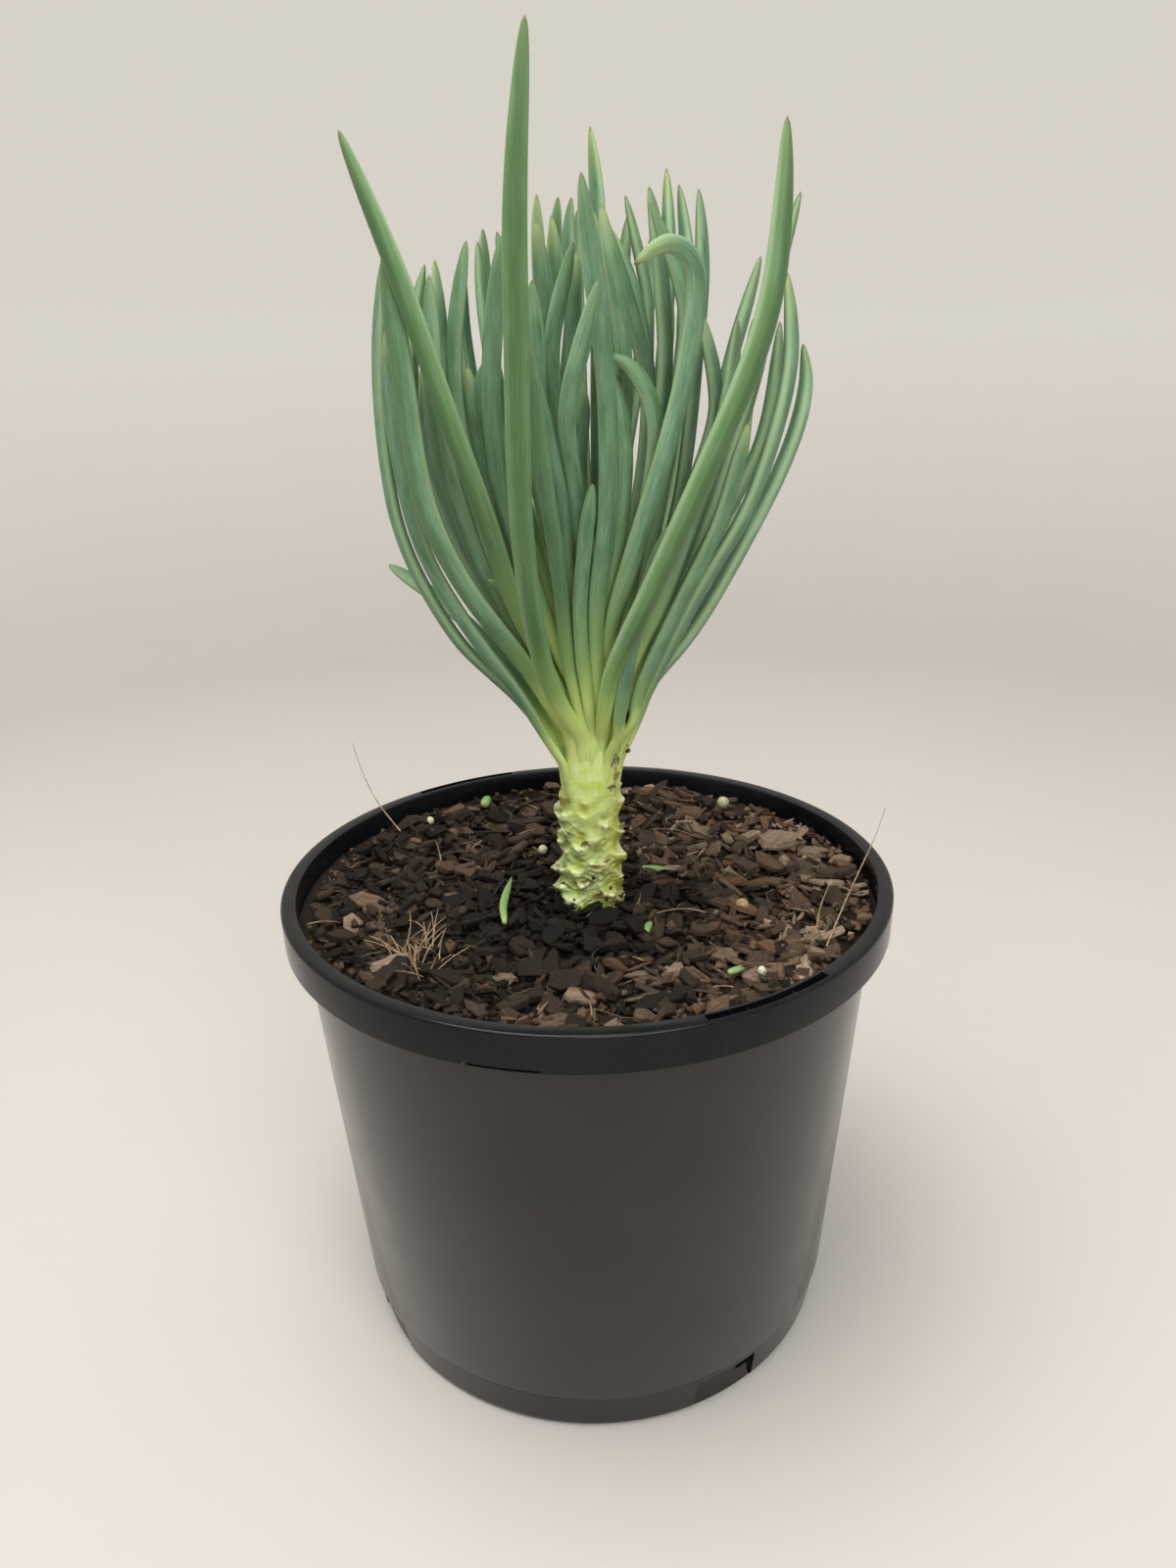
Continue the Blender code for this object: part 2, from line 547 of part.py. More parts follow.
def add_bark(parent):
    for number, (name, spot, length, width, height, turn, colour) in enumerate(BARK_CHUNKS):
        centre = spot_on_mix(*spot)
        low = resting_height(centre, length / 2)
        rng = np.random.default_rng(number + 3)
        shape = bmesh.new()
        for corner in range(14):
            angle = 2 * math.pi * corner / 7
            level = (-0.5, 0.5)[corner // 7]
            swing = rng.uniform(0.72, 1.0)
            shape.verts.new((
                swing * length / 2 * math.cos(angle) * MM,
                swing * width / 2 * math.sin(angle) * MM,
                (level * height * rng.uniform(0.7, 1.0)) * MM,
            ))
        bmesh.ops.convex_hull(shape, input=shape.verts)
        mesh = bpy.data.meshes.new(name)
        shape.to_mesh(mesh)
        shape.free()
        mesh.materials.append(plain_material(name, colour, 0.9))
        chunk = bpy.data.objects.new(name, mesh)
        chunk.location = Vector((centre[0], centre[1], low + height / 2)) * MM
        chunk.rotation_euler = (0.0, 0.0, math.radians(turn))
        chunk.parent = parent
        bpy.context.scene.collection.objects.link(chunk)


def add_fallen_leaves(parent):
    for name, spot, length, thickness, turn, colour in FALLEN_LEAVES:
        centre = spot_on_mix(*spot)
        centre[2] = resting_height(centre, length / 2) + thickness / 2
        half = np.array((math.cos(math.radians(turn)), math.sin(math.radians(turn)), 0.0)) * length / 2
        bow = np.array((-half[1], half[0], 0.0)) * 0.12
        line = smooth_path([centre - half, centre + bow, centre + half], 20)
        points, faces = stacked_rings(leaf_rings(line, thickness, 0.4, 9, 8))
        add_object(name, points, faces, plain_material(name, colour, 0.6), parent, 180.0)


def add_beads(parent):
    for name, spot, diameter, colour in FERTILISER_BEADS:
        centre = spot_on_mix(*spot)
        centre[2] = resting_height(centre, diameter / 3) + diameter / 2
        shape = bmesh.new()
        bmesh.ops.create_icosphere(shape, subdivisions=2, radius=diameter / 2 * MM)
        mesh = bpy.data.meshes.new(name)
        shape.to_mesh(mesh)
        shape.free()
        mesh.shade_smooth()
        mesh.materials.append(plain_material(name, colour, 0.5))
        bead = bpy.data.objects.new(name, mesh)
        bead.location = Vector(centre) * MM
        bead.parent = parent
        bpy.context.scene.collection.objects.link(bead)


def main():
    clear_scene()
    root = bpy.data.objects.new("potted_chalk_stick", None)
    bpy.context.scene.collection.objects.link(root)
    add_pot(root)
    add_mix(root)
    add_stem(root)
    add_leaves(root)
    add_bark(root)
    add_fallen_leaves(root)
    add_beads(root)


main()
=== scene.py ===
"""The looks of a potted chalk stick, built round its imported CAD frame.

The origin is the bottom centre of the pot, +Z is up and -Y is the front. Sizes are in millimetres
until a mesh is made. An azimuth is in degrees: 0 is the front, and it grows towards +X.
"""

import math

import bmesh
import bpy
import numpy as np
from mathutils import Matrix, Vector, noise


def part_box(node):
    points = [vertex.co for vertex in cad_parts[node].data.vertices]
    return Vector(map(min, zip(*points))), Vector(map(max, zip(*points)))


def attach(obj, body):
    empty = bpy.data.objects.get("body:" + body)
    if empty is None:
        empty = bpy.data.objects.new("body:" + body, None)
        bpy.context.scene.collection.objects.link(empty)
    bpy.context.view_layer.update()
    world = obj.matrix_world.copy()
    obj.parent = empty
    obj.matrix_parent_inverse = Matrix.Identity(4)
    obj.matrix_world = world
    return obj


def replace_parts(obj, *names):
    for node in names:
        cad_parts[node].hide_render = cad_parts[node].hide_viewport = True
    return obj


MM = 0.001
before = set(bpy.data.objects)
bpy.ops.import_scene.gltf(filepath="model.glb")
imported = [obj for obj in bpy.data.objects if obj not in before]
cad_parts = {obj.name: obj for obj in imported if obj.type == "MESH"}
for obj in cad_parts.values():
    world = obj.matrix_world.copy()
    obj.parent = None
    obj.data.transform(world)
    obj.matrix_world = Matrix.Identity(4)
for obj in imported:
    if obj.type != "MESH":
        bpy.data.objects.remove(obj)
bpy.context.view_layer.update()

# Stage
STAGE_RADIUS = 1400.0
STAGE_HEIGHT = 1600.0
STAGE_BEND = 450.0
STAGE_SIDES = 96

# Camera
CAMERA_TARGET = (1.24, 0.0, 187.75)
CAMERA_DISTANCE = 358.3
CAMERA_ELEVATION = 20.91
CAMERA_ROLL = -1.44
CAMERA_LENS = 25.18

# Pot, sized by its CAD solid
POT_LOW, POT_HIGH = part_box("nursery_pot")
POT_HEIGHT = POT_HIGH.z / MM
RIM_RADIUS = (POT_HIGH.x - POT_LOW.x) / 2 / MM
WALL = 1.6
BAND_FOOT = POT_HEIGHT - 11.8
BAND_WALL = 1.5
BODY_TOP_RADIUS = RIM_RADIUS - 5.8
BODY_FOOT_RADIUS = RIM_RADIUS - 15.8
FOOT_RADIUS = RIM_RADIUS - 17.5
FOOT_STEP_HEIGHT = 15.0
FLOOR_HEIGHT = 4.0
LEDGE_HEIGHT = POT_HEIGHT - 9.0
LEDGE_RADIUS = RIM_RADIUS - 5.0
LEDGE_SLOPE = 0.6
FOOT_TAPER = 0.8
FOOT_RING = 3.2
EDGE_ROUND = 1.1
NOTCH_AZIMUTHS = (30.0, 120.0, -150.0, -60.0)
NOTCH_SPAN = 16.0
NOTCH_HEIGHT = 12.0
NOTCH_DEPTH = 11.0
SLOT_AZIMUTHS = (30.0, -150.0)
SLOT_SPAN = 24.0
SLOT_WIDTH = 2.5
POT_SIDES = 180
POT_SHARP_ANGLE = 28.0

# Potting mix
MIX_HEIGHT = POT_HEIGHT - 10.5
MIX_BUMP = 1.4
MIX_DIP = 2.0
MIX_RISE = 3.0

# Plates of bark: the corners and points of their outline, and the (level, shrink) of their layers
PLATE_SIDES = 7
PLATE_POINTS = 35
PLATE_LAYERS = (
    (-0.5, 0.80), (-0.40, 0.94), (-0.1, 1.0), (0.05, 0.99),
    (0.10, 0.92), (0.30, 0.90), (0.5, 0.84), (0.46, 0.45),
)

# Stem
STEM_DIAMETER = 20.4
STEM_SHOULDER = POT_HEIGHT + 45.0
STEM_TOP = POT_HEIGHT + 92.0
STEM_TOP_DIAMETER = 9.0
STEM_FOOT_X = 1.4
STEM_LEAN = 0.018
STEM_ROWS = 340
STEM_SIDES = 184
GOLDEN_ANGLE = 137.508

# Leaves: the CAD solids' centrelines, settled in the same way
LEAF_GAP = 0.55
LEAF_STEPS = 56
LEAF_BASE_SHARE = 0.66
LEAF_POINT_SHARE = 0.16
TALL_POINT_SHARE = 0.32
SETTLE_ROUNDS = 300
FREE_ROUNDS = 25
LEAF_RINGS = 96
TAIL_LENGTH = 16.0
LEAF_SIDES = 22

# Each leaf: thickness, (azimuth, height) of its base on the stem, then (azimuth, reach, height) of
# the points that its centreline passes, up to its tip. Reach is measured from the pot's axis, and
# height from the rim.
SINGLE_LEAVES = {
    "leaf_tall_front": (6.2, (-16, 54), (-22, 19, 66), (-24, 29, 85), (-20, 42, 120), (-15, 51, 167),
        (-13, 53, 197), (-9, 53, 229)),
    "leaf_tall_left": (5.8, (-46, 61), (-48, 25, 92), (-46, 35, 119), (-50, 44, 147), (-55, 53, 180),
        (-61, 63, 212)),
    "leaf_tall_right": (6.6, (24, 53), (27, 21, 72), (35, 32, 93), (43, 49, 129), (50, 62, 164),
        (52, 65, 188), (53, 65, 211)),
    "leaf_hooked": (5.4, (20, 63), (23, 18, 82), (27, 29, 104), (34, 40, 133), (39, 46, 157),
        (41, 48, 176), (39, 48, 183), (34, 47, 186), (27, 47, 185), (20, 45, 180)),
}
FRONT_LEAVES = (
    (5.2, (11, 58), (11, 20, 91), (15, 29, 116), (14, 35, 141), (12, 37, 161), (8, 36, 182),
     (5, 36, 201)),
    (4.4, (-6, 55), (-5, 16, 70), (-9, 24, 102), (-12, 37, 132), (-14, 43, 164)),
    (4.4, (-2, 64), (-3, 20, 101), (-7, 32, 131), (-15, 37, 159)),
    (4.8, (3, 64), (-3, 24, 117), (-6, 36, 142), (-2, 40, 154), (2, 42, 162), (8, 44, 177)),
    (4.2, (4, 56), (2, 20, 85), (5, 27, 110), (9, 32, 128)),
    (5.0, (-30, 76), (-25, 14, 132), (-22, 17, 167), (-26, 20, 193)),
)
LEFT_LEAVES = (
    (4.6, (-88, 44), (-85, 22, 62), (-84, 38, 80), (-83, 52, 111), (-82, 55, 141), (-82, 54, 164),
     (-81, 51, 186)),
    (6.2, (-50, 54), (-56, 21, 75), (-60, 36, 96), (-60, 48, 122), (-60, 52, 160), (-61, 54, 186)),
    (4.9, (-62, 42), (-67, 21, 63), (-69, 34, 83), (-71, 48, 112), (-70, 53, 148), (-70, 52, 170)),
    (5.7, (-62, 57), (-67, 21, 82), (-70, 30, 102), (-68, 38, 130), (-69, 40, 152), (-72, 39, 181)),
    (5.0, (-103, 53), (-98, 30, 92), (-95, 44, 132), (-95, 47, 160), (-96, 41, 185)),
    (4.4, (-80, 60), (-80, 27, 94), (-80, 37, 117), (-79, 42, 136), (-79, 43, 158)),
    (4.8, (-66, 66), (-68, 24, 107), (-68, 33, 133), (-67, 36, 151), (-66, 35, 168), (-63, 31, 189)),
    (4.8, (-114, 64), (-112, 20, 122), (-112, 26, 162), (-111, 28, 191)),
    (4.6, (-54, 70), (-60, 22, 106), (-61, 29, 130), (-61, 33, 158)),
    (5.2, (-38, 67), (-43, 27, 114), (-42, 32, 134), (-40, 34, 152), (-37, 32, 175), (-33, 31, 189)),
    (4.8, (-118, 45), (-108, 30, 74), (-104, 48, 91), (-104, 62, 100)),
)
RIGHT_LEAVES = (
    (5.0, (26, 72), (29, 20, 112), (31, 26, 146), (27, 29, 161), (21, 30, 179), (16, 29, 195)),
    (4.8, (38, 67), (39, 23, 100), (38, 31, 121), (36, 37, 141), (30, 37, 153), (24, 33, 159),
     (18, 28, 160)),
    (4.8, (50, 68), (55, 20, 110), (56, 25, 145), (41, 26, 166), (30, 25, 180), (21, 24, 194)),
    (4.4, (74, 71), (76, 20, 122), (74, 23, 150), (62, 22, 168), (54, 20, 180), (42, 16, 192)),
    (5.2, (66, 77), (70, 22, 122), (71, 26, 157), (68, 26, 172), (67, 25, 187), (64, 23, 201)),
    (5.0, (58, 65), (60, 28, 127), (62, 35, 165), (57, 34, 179), (46, 29, 196)),
    (4.8, (112, 69), (115, 24, 122), (116, 31, 176), (120, 32, 209)),
    (4.8, (128, 61), (125, 32, 117), (123, 41, 177), (127, 40, 206)),
    (4.8, (80, 64), (77, 30, 117), (74, 36, 168), (71, 37, 185), (71, 36, 200)),
    (4.8, (68, 56), (68, 28, 104), (69, 39, 135), (68, 42, 146), (64, 41, 158), (61, 38, 171)),
    (4.8, (88, 56), (85, 32, 110), (81, 41, 142), (80, 44, 157), (81, 52, 184)),
    (5.0, (106, 51), (103, 37, 102), (103, 54, 149), (103, 60, 178), (102, 67, 202)),
    (5.2, (78, 48), (76, 36, 93), (79, 50, 117), (80, 59, 145), (81, 61, 162), (80, 59, 180)),
    (5.0, (94, 44), (92, 34, 96), (91, 51, 127), (92, 57, 145), (92, 59, 168)),
    (5.4, (110, 42), (104, 18, 59), (99, 37, 82), (98, 57, 116), (97, 66, 137), (97, 69, 152),
     (96, 67, 162)),
    (5.2, (54, 49), (61, 18, 68), (67, 30, 91), (68, 43, 115), (69, 51, 142)),
    (4.8, (34, 47), (32, 19, 61), (39, 27, 92), (52, 33, 115)),
    (4.8, (60, 58), (62, 34, 106), (63, 46, 145), (63, 49, 168)),
)
BACK_LEAVES = (
    (4.8, (162, 63), (165, 28, 142), (165, 33, 197), (169, 35, 223)),
    (4.8, (-152, 78), (-158, 20, 142), (-164, 22, 177), (-171, 20, 203)),
    (5.2, (144, 53), (142, 34, 90), (140, 52, 132), (141, 57, 188)),
    (5.2, (172, 47), (168, 34, 78), (166, 55, 117), (164, 61, 174)),
    (5.0, (-168, 55), (-165, 33, 97), (-166, 50, 142), (-164, 55, 185)),
    (5.0, (-144, 46), (-140, 34, 74), (-138, 55, 112), (-138, 60, 164)),
    (4.8, (-130, 56), (-127, 32, 104), (-125, 47, 148), (-124, 49, 188)),
    (5.0, (126, 45), (120, 32, 70), (117, 55, 110), (118, 63, 170)),
    (4.8, (152, 70), (148, 26, 122), (146, 40, 167), (145, 43, 194)),
    (4.8, (-176, 64), (-178, 26, 117), (178, 40, 160), (179, 45, 194)),
    (4.6, (-134, 68), (-135, 24, 122), (-134, 35, 164), (-136, 37, 196)),
)

# Young and inner leaves that only the looks hold
INNER_LEAVES = (
    (4.4, (-45, 72), (-50, 28, 132), (-52, 32, 155), (-49, 30, 160)),
    (4.2, (4, 74), (4, 14, 127), (11, 14, 147), (7, 14, 154)),
    (4.4, (-24, 74), (-20, 24, 130), (-17, 31, 165), (-17, 33, 178)),
    (4.4, (-12, 76), (-10, 20, 132), (-13, 25, 161), (-2, 26, 180), (2, 26, 187)),
    (4.2, (-60, 86), (-40, 10, 140), (-26, 9, 185), (-31, 9, 195)),
    (4.0, (96, 76), (99, 20, 130), (100, 22, 171), (101, 21, 179), (105, 16, 201)),
    (4.4, (31, 66), (31, 26, 112), (30, 30, 137), (29, 27, 156)),
    (4.6, (-160, 70), (-161, 24, 130), (-162, 31, 190), (-162, 31, 205)),
    (4.4, (178, 84), (179, 12, 150), (-178, 14, 194), (177, 14, 202)),
    (4.6, (172, 74), (175, 24, 140), (177, 30, 189), (175, 30, 201)),
    (4.6, (44, 84), (50, 12, 140), (46, 13, 176), (30, 12, 196)),
    (4.6, (-96, 84), (-90, 14, 140), (-86, 18, 180), (-80, 20, 192)),
    (4.6, (130, 86), (128, 14, 140), (126, 18, 180), (124, 20, 197)),
    (4.6, (-30, 86), (-20, 8, 140), (0, 8, 170), (10, 10, 186)),
    (4.6, (88, 70), (86, 26, 130), (88, 32, 170), (90, 31, 190)),
    (4.6, (-84, 72), (-82, 24, 120), (-84, 32, 160), (-88, 31, 184)),
    (4.6, (142, 66), (140, 32, 120), (136, 42, 165), (138, 40, 188)),
    (4.6, (-120, 68), (-120, 28, 120), (-122, 38, 165), (-121, 37, 188)),
)
CURLED_LEAF = (3.6, (-54, 62), (-58, 22, 90), (-57, 27, 97), (-55, 32, 100))


def numbered(group, leaves):
    return [(f"{group}_{number}", *leaf) for number, leaf in enumerate(leaves, 1)]


LEAVES = [(name, *leaf) for name, leaf in SINGLE_LEAVES.items()]
LEAVES += numbered("leaf_front", FRONT_LEAVES) + numbered("leaf_left", LEFT_LEAVES)
LEAVES += numbered("leaf_right", RIGHT_LEAVES) + numbered("leaf_back", BACK_LEAVES)
YOUNG_LEAVES = [*numbered("inner_leaf", INNER_LEAVES), ("leaf_curl", *CURLED_LEAF)]


# ---------------------------------------------------------------- geometry helpers


def place(azimuth, reach, height):
    turn = math.radians(azimuth)
    return np.array((reach * math.sin(turn), -reach * math.cos(turn), height))


def ease(value, low, high):
    """0 below low, 1 above high, and a smooth step between them."""
    share = np.clip((value - low) / (high - low), 0.0, 1.0)
    return share * share * (3 - 2 * share)


def bell(value, width):
    """1 at zero, falling away smoothly on both sides of it."""
    return np.exp(-((value / width) ** 2))


def bumps(x, y, size, seed):
    """Smooth noise over the mix, with lumps of about the given size."""
    return noise.noise(Vector((x / size, y / size, seed)))


def unit(vectors):
    return vectors / (np.linalg.norm(vectors, axis=-1, keepdims=True) + 1e-9)


def full_circle(sides):
    return np.linspace(0, 2 * math.pi, sides, endpoint=False)


def smooth_path(stops, count):
    """Points at equal steps along a Catmull-Rom curve through the stops."""
    stops = np.array(stops)
    stops = np.vstack((2 * stops[0] - stops[1], stops, 2 * stops[-1] - stops[-2]))
    fine = []
    for before, start, end, after in zip(stops, stops[1:], stops[2:], stops[3:]):
        slope = end - before
        curve = 2 * before - 5 * start + 4 * end - after
        twist = 3 * start - before - 3 * end + after
        for t in np.linspace(0, 1, 16, endpoint=False):
            fine.append(0.5 * (2 * start + slope * t + curve * t**2 + twist * t**3))
    fine = np.array([*fine, stops[-2]])
    return points_at(fine, np.linspace(0, distances(fine)[-1], count))


def distances(line):
    """How far along a line each of its points is."""
    return np.concatenate(([0.0], np.cumsum(np.linalg.norm(np.diff(line, axis=0), axis=1))))


def points_at(line, where):
    run = distances(line)
    return np.column_stack([np.interp(where, run, line[:, axis]) for axis in range(3)])


def smoothed(line, rounds):
    """Draws each point of a line towards its neighbours, with the two ends held."""
    for _ in range(rounds):
        line[1:-1] = 0.5 * line[1:-1] + 0.25 * (line[:-2] + line[2:])
    return line


def add_object(name, data):
    made = bpy.data.objects.new(name, data)
    bpy.context.scene.collection.objects.link(made)
    return made


def new_mesh(name, points, faces):
    """A mesh from points in millimetres."""
    mesh = bpy.data.meshes.new(name)
    mesh.from_pydata((np.asarray(points) * MM).tolist(), [], faces)
    return mesh


def for_each_point(value, count):
    """The value as it is when it has a row for each point, and else repeated for each."""
    value = np.asarray(value, np.float32)
    return value if value.shape[:1] == (count,) else np.broadcast_to(value, (count,) + value.shape)


def add_piece(name, points, faces, material, attributes=None, sharp_angle=180.0):
    """A mesh piece that rides on the plant's only body."""
    mesh = new_mesh(name, points, faces)
    mesh.shade_smooth()
    mesh.set_sharp_from_angle(angle=math.radians(sharp_angle))
    for key, value in (attributes or {}).items():
        values = for_each_point(value, len(points))
        kind, field = ("FLOAT_VECTOR", "vector") if values.ndim == 2 else ("FLOAT", "value")
        mesh.attributes.new(key, kind, "POINT").data.foreach_set(field, values.reshape(-1))
    mesh.materials.append(material)
    piece = add_object(name, mesh)
    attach(piece, "root")
    return piece


def ring_faces(rows, sides, start=0, closed_ends=True):
    """Faces of a skin through rows of rings whose points follow each other."""
    faces = []
    for row in range(rows - 1):
        low, high = start + row * sides, start + (row + 1) * sides
        for k in range(sides):
            after = (k + 1) % sides
            faces.append((low + k, low + after, high + after, high + k))
    if closed_ends:
        faces.append(tuple(start + k for k in reversed(range(sides))))
        faces.append(tuple(start + (rows - 1) * sides + k for k in range(sides)))
    return faces


def sheet_faces(rows, columns):
    """Faces of a thin closed sheet: a grid of outer points followed by the same grid of inner points."""
    total = rows * columns
    faces = []
    for row in range(rows - 1):
        for column in range(columns - 1):
            corner = row * columns + column
            quad = (corner, corner + 1, corner + 1 + columns, corner + columns)
            faces.append(quad)
            faces.append(tuple(point + total for point in reversed(quad)))
    rim = list(range(columns))
    rim += [row * columns + columns - 1 for row in range(1, rows)]
    rim += [(rows - 1) * columns + column for column in reversed(range(columns - 1))]
    rim += [row * columns for row in reversed(range(1, rows - 1))]
    for first, second in zip(rim, rim[1:] + rim[:1]):
        faces.append((second, first, first + total, second + total))
    return faces


def turned(profile, sides):
    """Points and faces of a solid turned about +Z, from an outline that starts and ends on the axis."""
    turns = full_circle(sides)
    points = [(0.0, 0.0, profile[0][1])]
    for radius, height in profile[1:-1]:
        points += [(radius * math.cos(turn), radius * math.sin(turn), height) for turn in turns]
    points.append((0.0, 0.0, profile[-1][1]))
    last = len(points) - 1
    faces = [tuple(reversed(face)) for face in ring_faces(len(profile) - 2, sides, 1, False)]
    for side in range(sides):
        after = (side + 1) % sides
        faces.append((0, 1 + side, 1 + after))
        faces.append((last, last - sides + after, last - sides + side))
    return points, faces


def sector(inner, outer, bottom, top, azimuth, span, steps=6):
    """A block between two radii and two heights, over a span of azimuth, as a hidden cutter."""
    points = []
    for step in range(steps + 1):
        angle = azimuth - span / 2 + span * step / steps
        corners = ((inner, bottom), (outer, bottom), (outer, top), (inner, top))
        points += [place(angle, reach, height) for reach, height in corners]
    mesh = new_mesh("cutter", points, ring_faces(steps + 1, 4))
    shape = bmesh.new()
    shape.from_mesh(mesh)
    bmesh.ops.recalc_face_normals(shape, faces=shape.faces)
    shape.to_mesh(mesh)
    shape.free()
    cutter = add_object("cutter", mesh)
    cutter.hide_render = True
    return cutter


def tube(line, radii, sides):
    """Points round a centreline, one ring for each of its points."""
    line = np.asarray(line, float)
    along = unit(np.gradient(line, axis=0))
    side = np.cross(along[0], (0.31, 0.22, 0.93))
    turns = full_circle(sides)
    rings = []
    for centre, direction, radius in zip(line, along, radii):
        side = unit(side - direction * side.dot(direction))
        face = np.cross(direction, side)
        rings.append(centre + radius * (np.outer(np.cos(turns), side) + np.outer(np.sin(turns), face)))
    return np.vstack(rings)


def replace_node(piece, node):
    """The piece stands for the CAD node of that name, where there is one."""
    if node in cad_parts:
        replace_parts(piece, node)


class Heap:
    """Many small closed shapes gathered into one piece."""

    def __init__(self):
        self.points, self.faces, self.attributes = [], [], {}
        self.count = 0

    def add(self, points, faces, **attributes):
        self.points.append(points)
        self.faces += [tuple(corner + self.count for corner in face) for face in faces]
        for key, value in attributes.items():
            self.attributes.setdefault(key, []).append(for_each_point(value, len(points)))
        self.count += len(points)

    def add_tube(self, line, first_radius, last_radius, sides):
        radii = np.linspace(first_radius, last_radius, len(line))
        self.add(tube(line, radii, sides), ring_faces(len(line), sides))

    def piece(self, name, material, slot, sharp_angle=180.0):
        points = np.vstack(self.points)
        attributes = {key: np.concatenate(values) for key, values in self.attributes.items()}
        return add_piece(name, points, self.faces, material, attributes, sharp_angle)


# ---------------------------------------------------------------- materials


class Shader:
    """A Principled material under construction. Most methods add a node and give back its output, and
    base and paint lay colours over each other."""

    def __init__(self, name, **constants):
        self.material = bpy.data.materials.new(name)
        self.material.use_nodes = True
        self.tree = self.material.node_tree
        self.principled = self.tree.nodes["Principled BSDF"]
        self.colour = None
        for socket, value in constants.items():
            self.principled.inputs[socket.replace("_", " ")].default_value = value

    def node(self, kind, inputs, output=0, **settings):
        made = self.tree.nodes.new(kind)
        for key, value in settings.items():
            setattr(made, key, value)
        for key, value in inputs.items():
            if isinstance(value, bpy.types.NodeSocket):
                self.tree.links.new(value, made.inputs[key])
            else:
                made.inputs[key].default_value = value
        return made.outputs[output]

    def place(self, stretch=(1.0, 1.0, 1.0)):
        """The point in the object's frame, in millimetres, times a stretch."""
        where = self.node("ShaderNodeTexCoord", {}, "Object")
        return self.stretched(where, tuple(factor / MM for factor in stretch))

    def stretched(self, vector, factors):
        return self.node("ShaderNodeVectorMath", {0: vector, 1: factors}, operation="MULTIPLY")

    def attribute(self, name, output="Fac"):
        return self.node("ShaderNodeAttribute", {}, output, attribute_name=name)

    def attributes(self, *names):
        return [self.attribute(name) for name in names]

    def noise(self, vector, scale, detail=3.0, rough=0.55):
        inputs = {"Vector": vector, "Scale": scale, "Detail": detail, "Roughness": rough}
        return self.node("ShaderNodeTexNoise", inputs, "Fac")

    def cells(self, vector, scale):
        return self.node("ShaderNodeTexVoronoi", {"Vector": vector, "Scale": scale}, "Distance")

    def ramp(self, value, *stops):
        """Linear steps between (position, grey or colour) stops."""
        made = self.tree.nodes.new("ShaderNodeValToRGB")
        self.tree.links.new(value, made.inputs[0])
        elements = made.color_ramp.elements
        while len(elements) < len(stops):
            elements.new(1.0)
        for element, (position, colour) in zip(elements, stops):
            element.position = position
            colour = (colour,) * 3 if isinstance(colour, float) else colour
            element.color = (*colour, 1.0)
        return made.outputs[0]

    def math(self, operation, first, second):
        return self.node("ShaderNodeMath", {0: first, 1: second}, operation=operation)

    def times(self, first, second):
        return self.math("MULTIPLY", first, second)

    def mix(self, factor, first, second, blend="MIX"):
        made = self.tree.nodes.new("ShaderNodeMix")
        made.data_type = "RGBA"
        made.blend_type = blend
        for index, value in ((0, factor), (6, first), (7, second)):
            if isinstance(value, bpy.types.NodeSocket):
                self.tree.links.new(value, made.inputs[index])
            else:
                made.inputs[index].default_value = value if index == 0 else (*value, 1.0)
        return made.outputs[2]

    def base(self, mask, low, high, *stops):
        """Starts the colour: low to high as the mask's ramp goes from 0 to 1."""
        self.colour = self.mix(self.ramp(mask, *stops), low, high)

    def paint(self, mask, tint, *stops):
        """Lays a tint over the colour where the mask is high, or where its ramp over the stops is."""
        self.colour = self.mix(self.ramp(mask, *stops) if stops else mask, self.colour, tint)

    def shade(self, mask, factors, *stops):
        """Multiplies the colour by factors in the same way."""
        shaded = self.mix(1.0, self.colour, factors, "MULTIPLY")
        self.paint(mask, shaded, *stops)

    def finish(self, roughness=None, height=None, depth=0.1, strength=1.0):
        """Joins the outputs to the shader. Depth is the bump's height in millimetres."""
        link = self.tree.links.new
        link(self.colour, self.principled.inputs["Base Color"])
        if roughness is not None:
            link(roughness, self.principled.inputs["Roughness"])
        if height is not None:
            inputs = {"Height": height, "Distance": depth * MM, "Strength": strength}
            link(self.node("ShaderNodeBump", inputs), self.principled.inputs["Normal"])
        return self.material


def pot_material(name, specular, dark, pale):
    """Charcoal moulded plastic: satin, faintly mottled, with dust and fine scuffs."""
    shader = Shader(name, Specular_IOR_Level=specular)
    where = shader.place()
    shader.base(shader.noise(where, 0.03, 4.0), dark, pale, (0.35, 0.0), (0.65, 1.0))
    grain = shader.noise(shader.place((1.0, 1.0, 0.25)), 0.9, 5.0, 0.7)
    dust = shader.ramp(grain, (0.58, 0.0), (0.85, 0.25))
    shader.paint(dust, (0.050, 0.045, 0.040))
    scuff = shader.noise(shader.place((0.35, 0.35, 2.2)), 0.5, 6.0, 0.75)
    shader.paint(scuff, (0.070, 0.066, 0.060), (0.66, 0.0), (0.78, 0.16))
    speck = shader.ramp(shader.cells(where, 0.11), (0.035, 1.0), (0.06, 0.0))
    some = shader.ramp(shader.noise(where, 0.018, 2.0), (0.55, 0.0), (0.60, 1.0))
    shader.paint(shader.times(speck, some), (0.003, 0.003, 0.003))
    rough = shader.ramp(shader.noise(where, 0.08, 5.0, 0.65), (0.3, 0.15), (0.7, 0.23))
    rough = shader.math("ADD", rough, shader.times(dust, 0.35))
    return shader.finish(rough, shader.noise(where, 1.1, 3.0), 0.012)


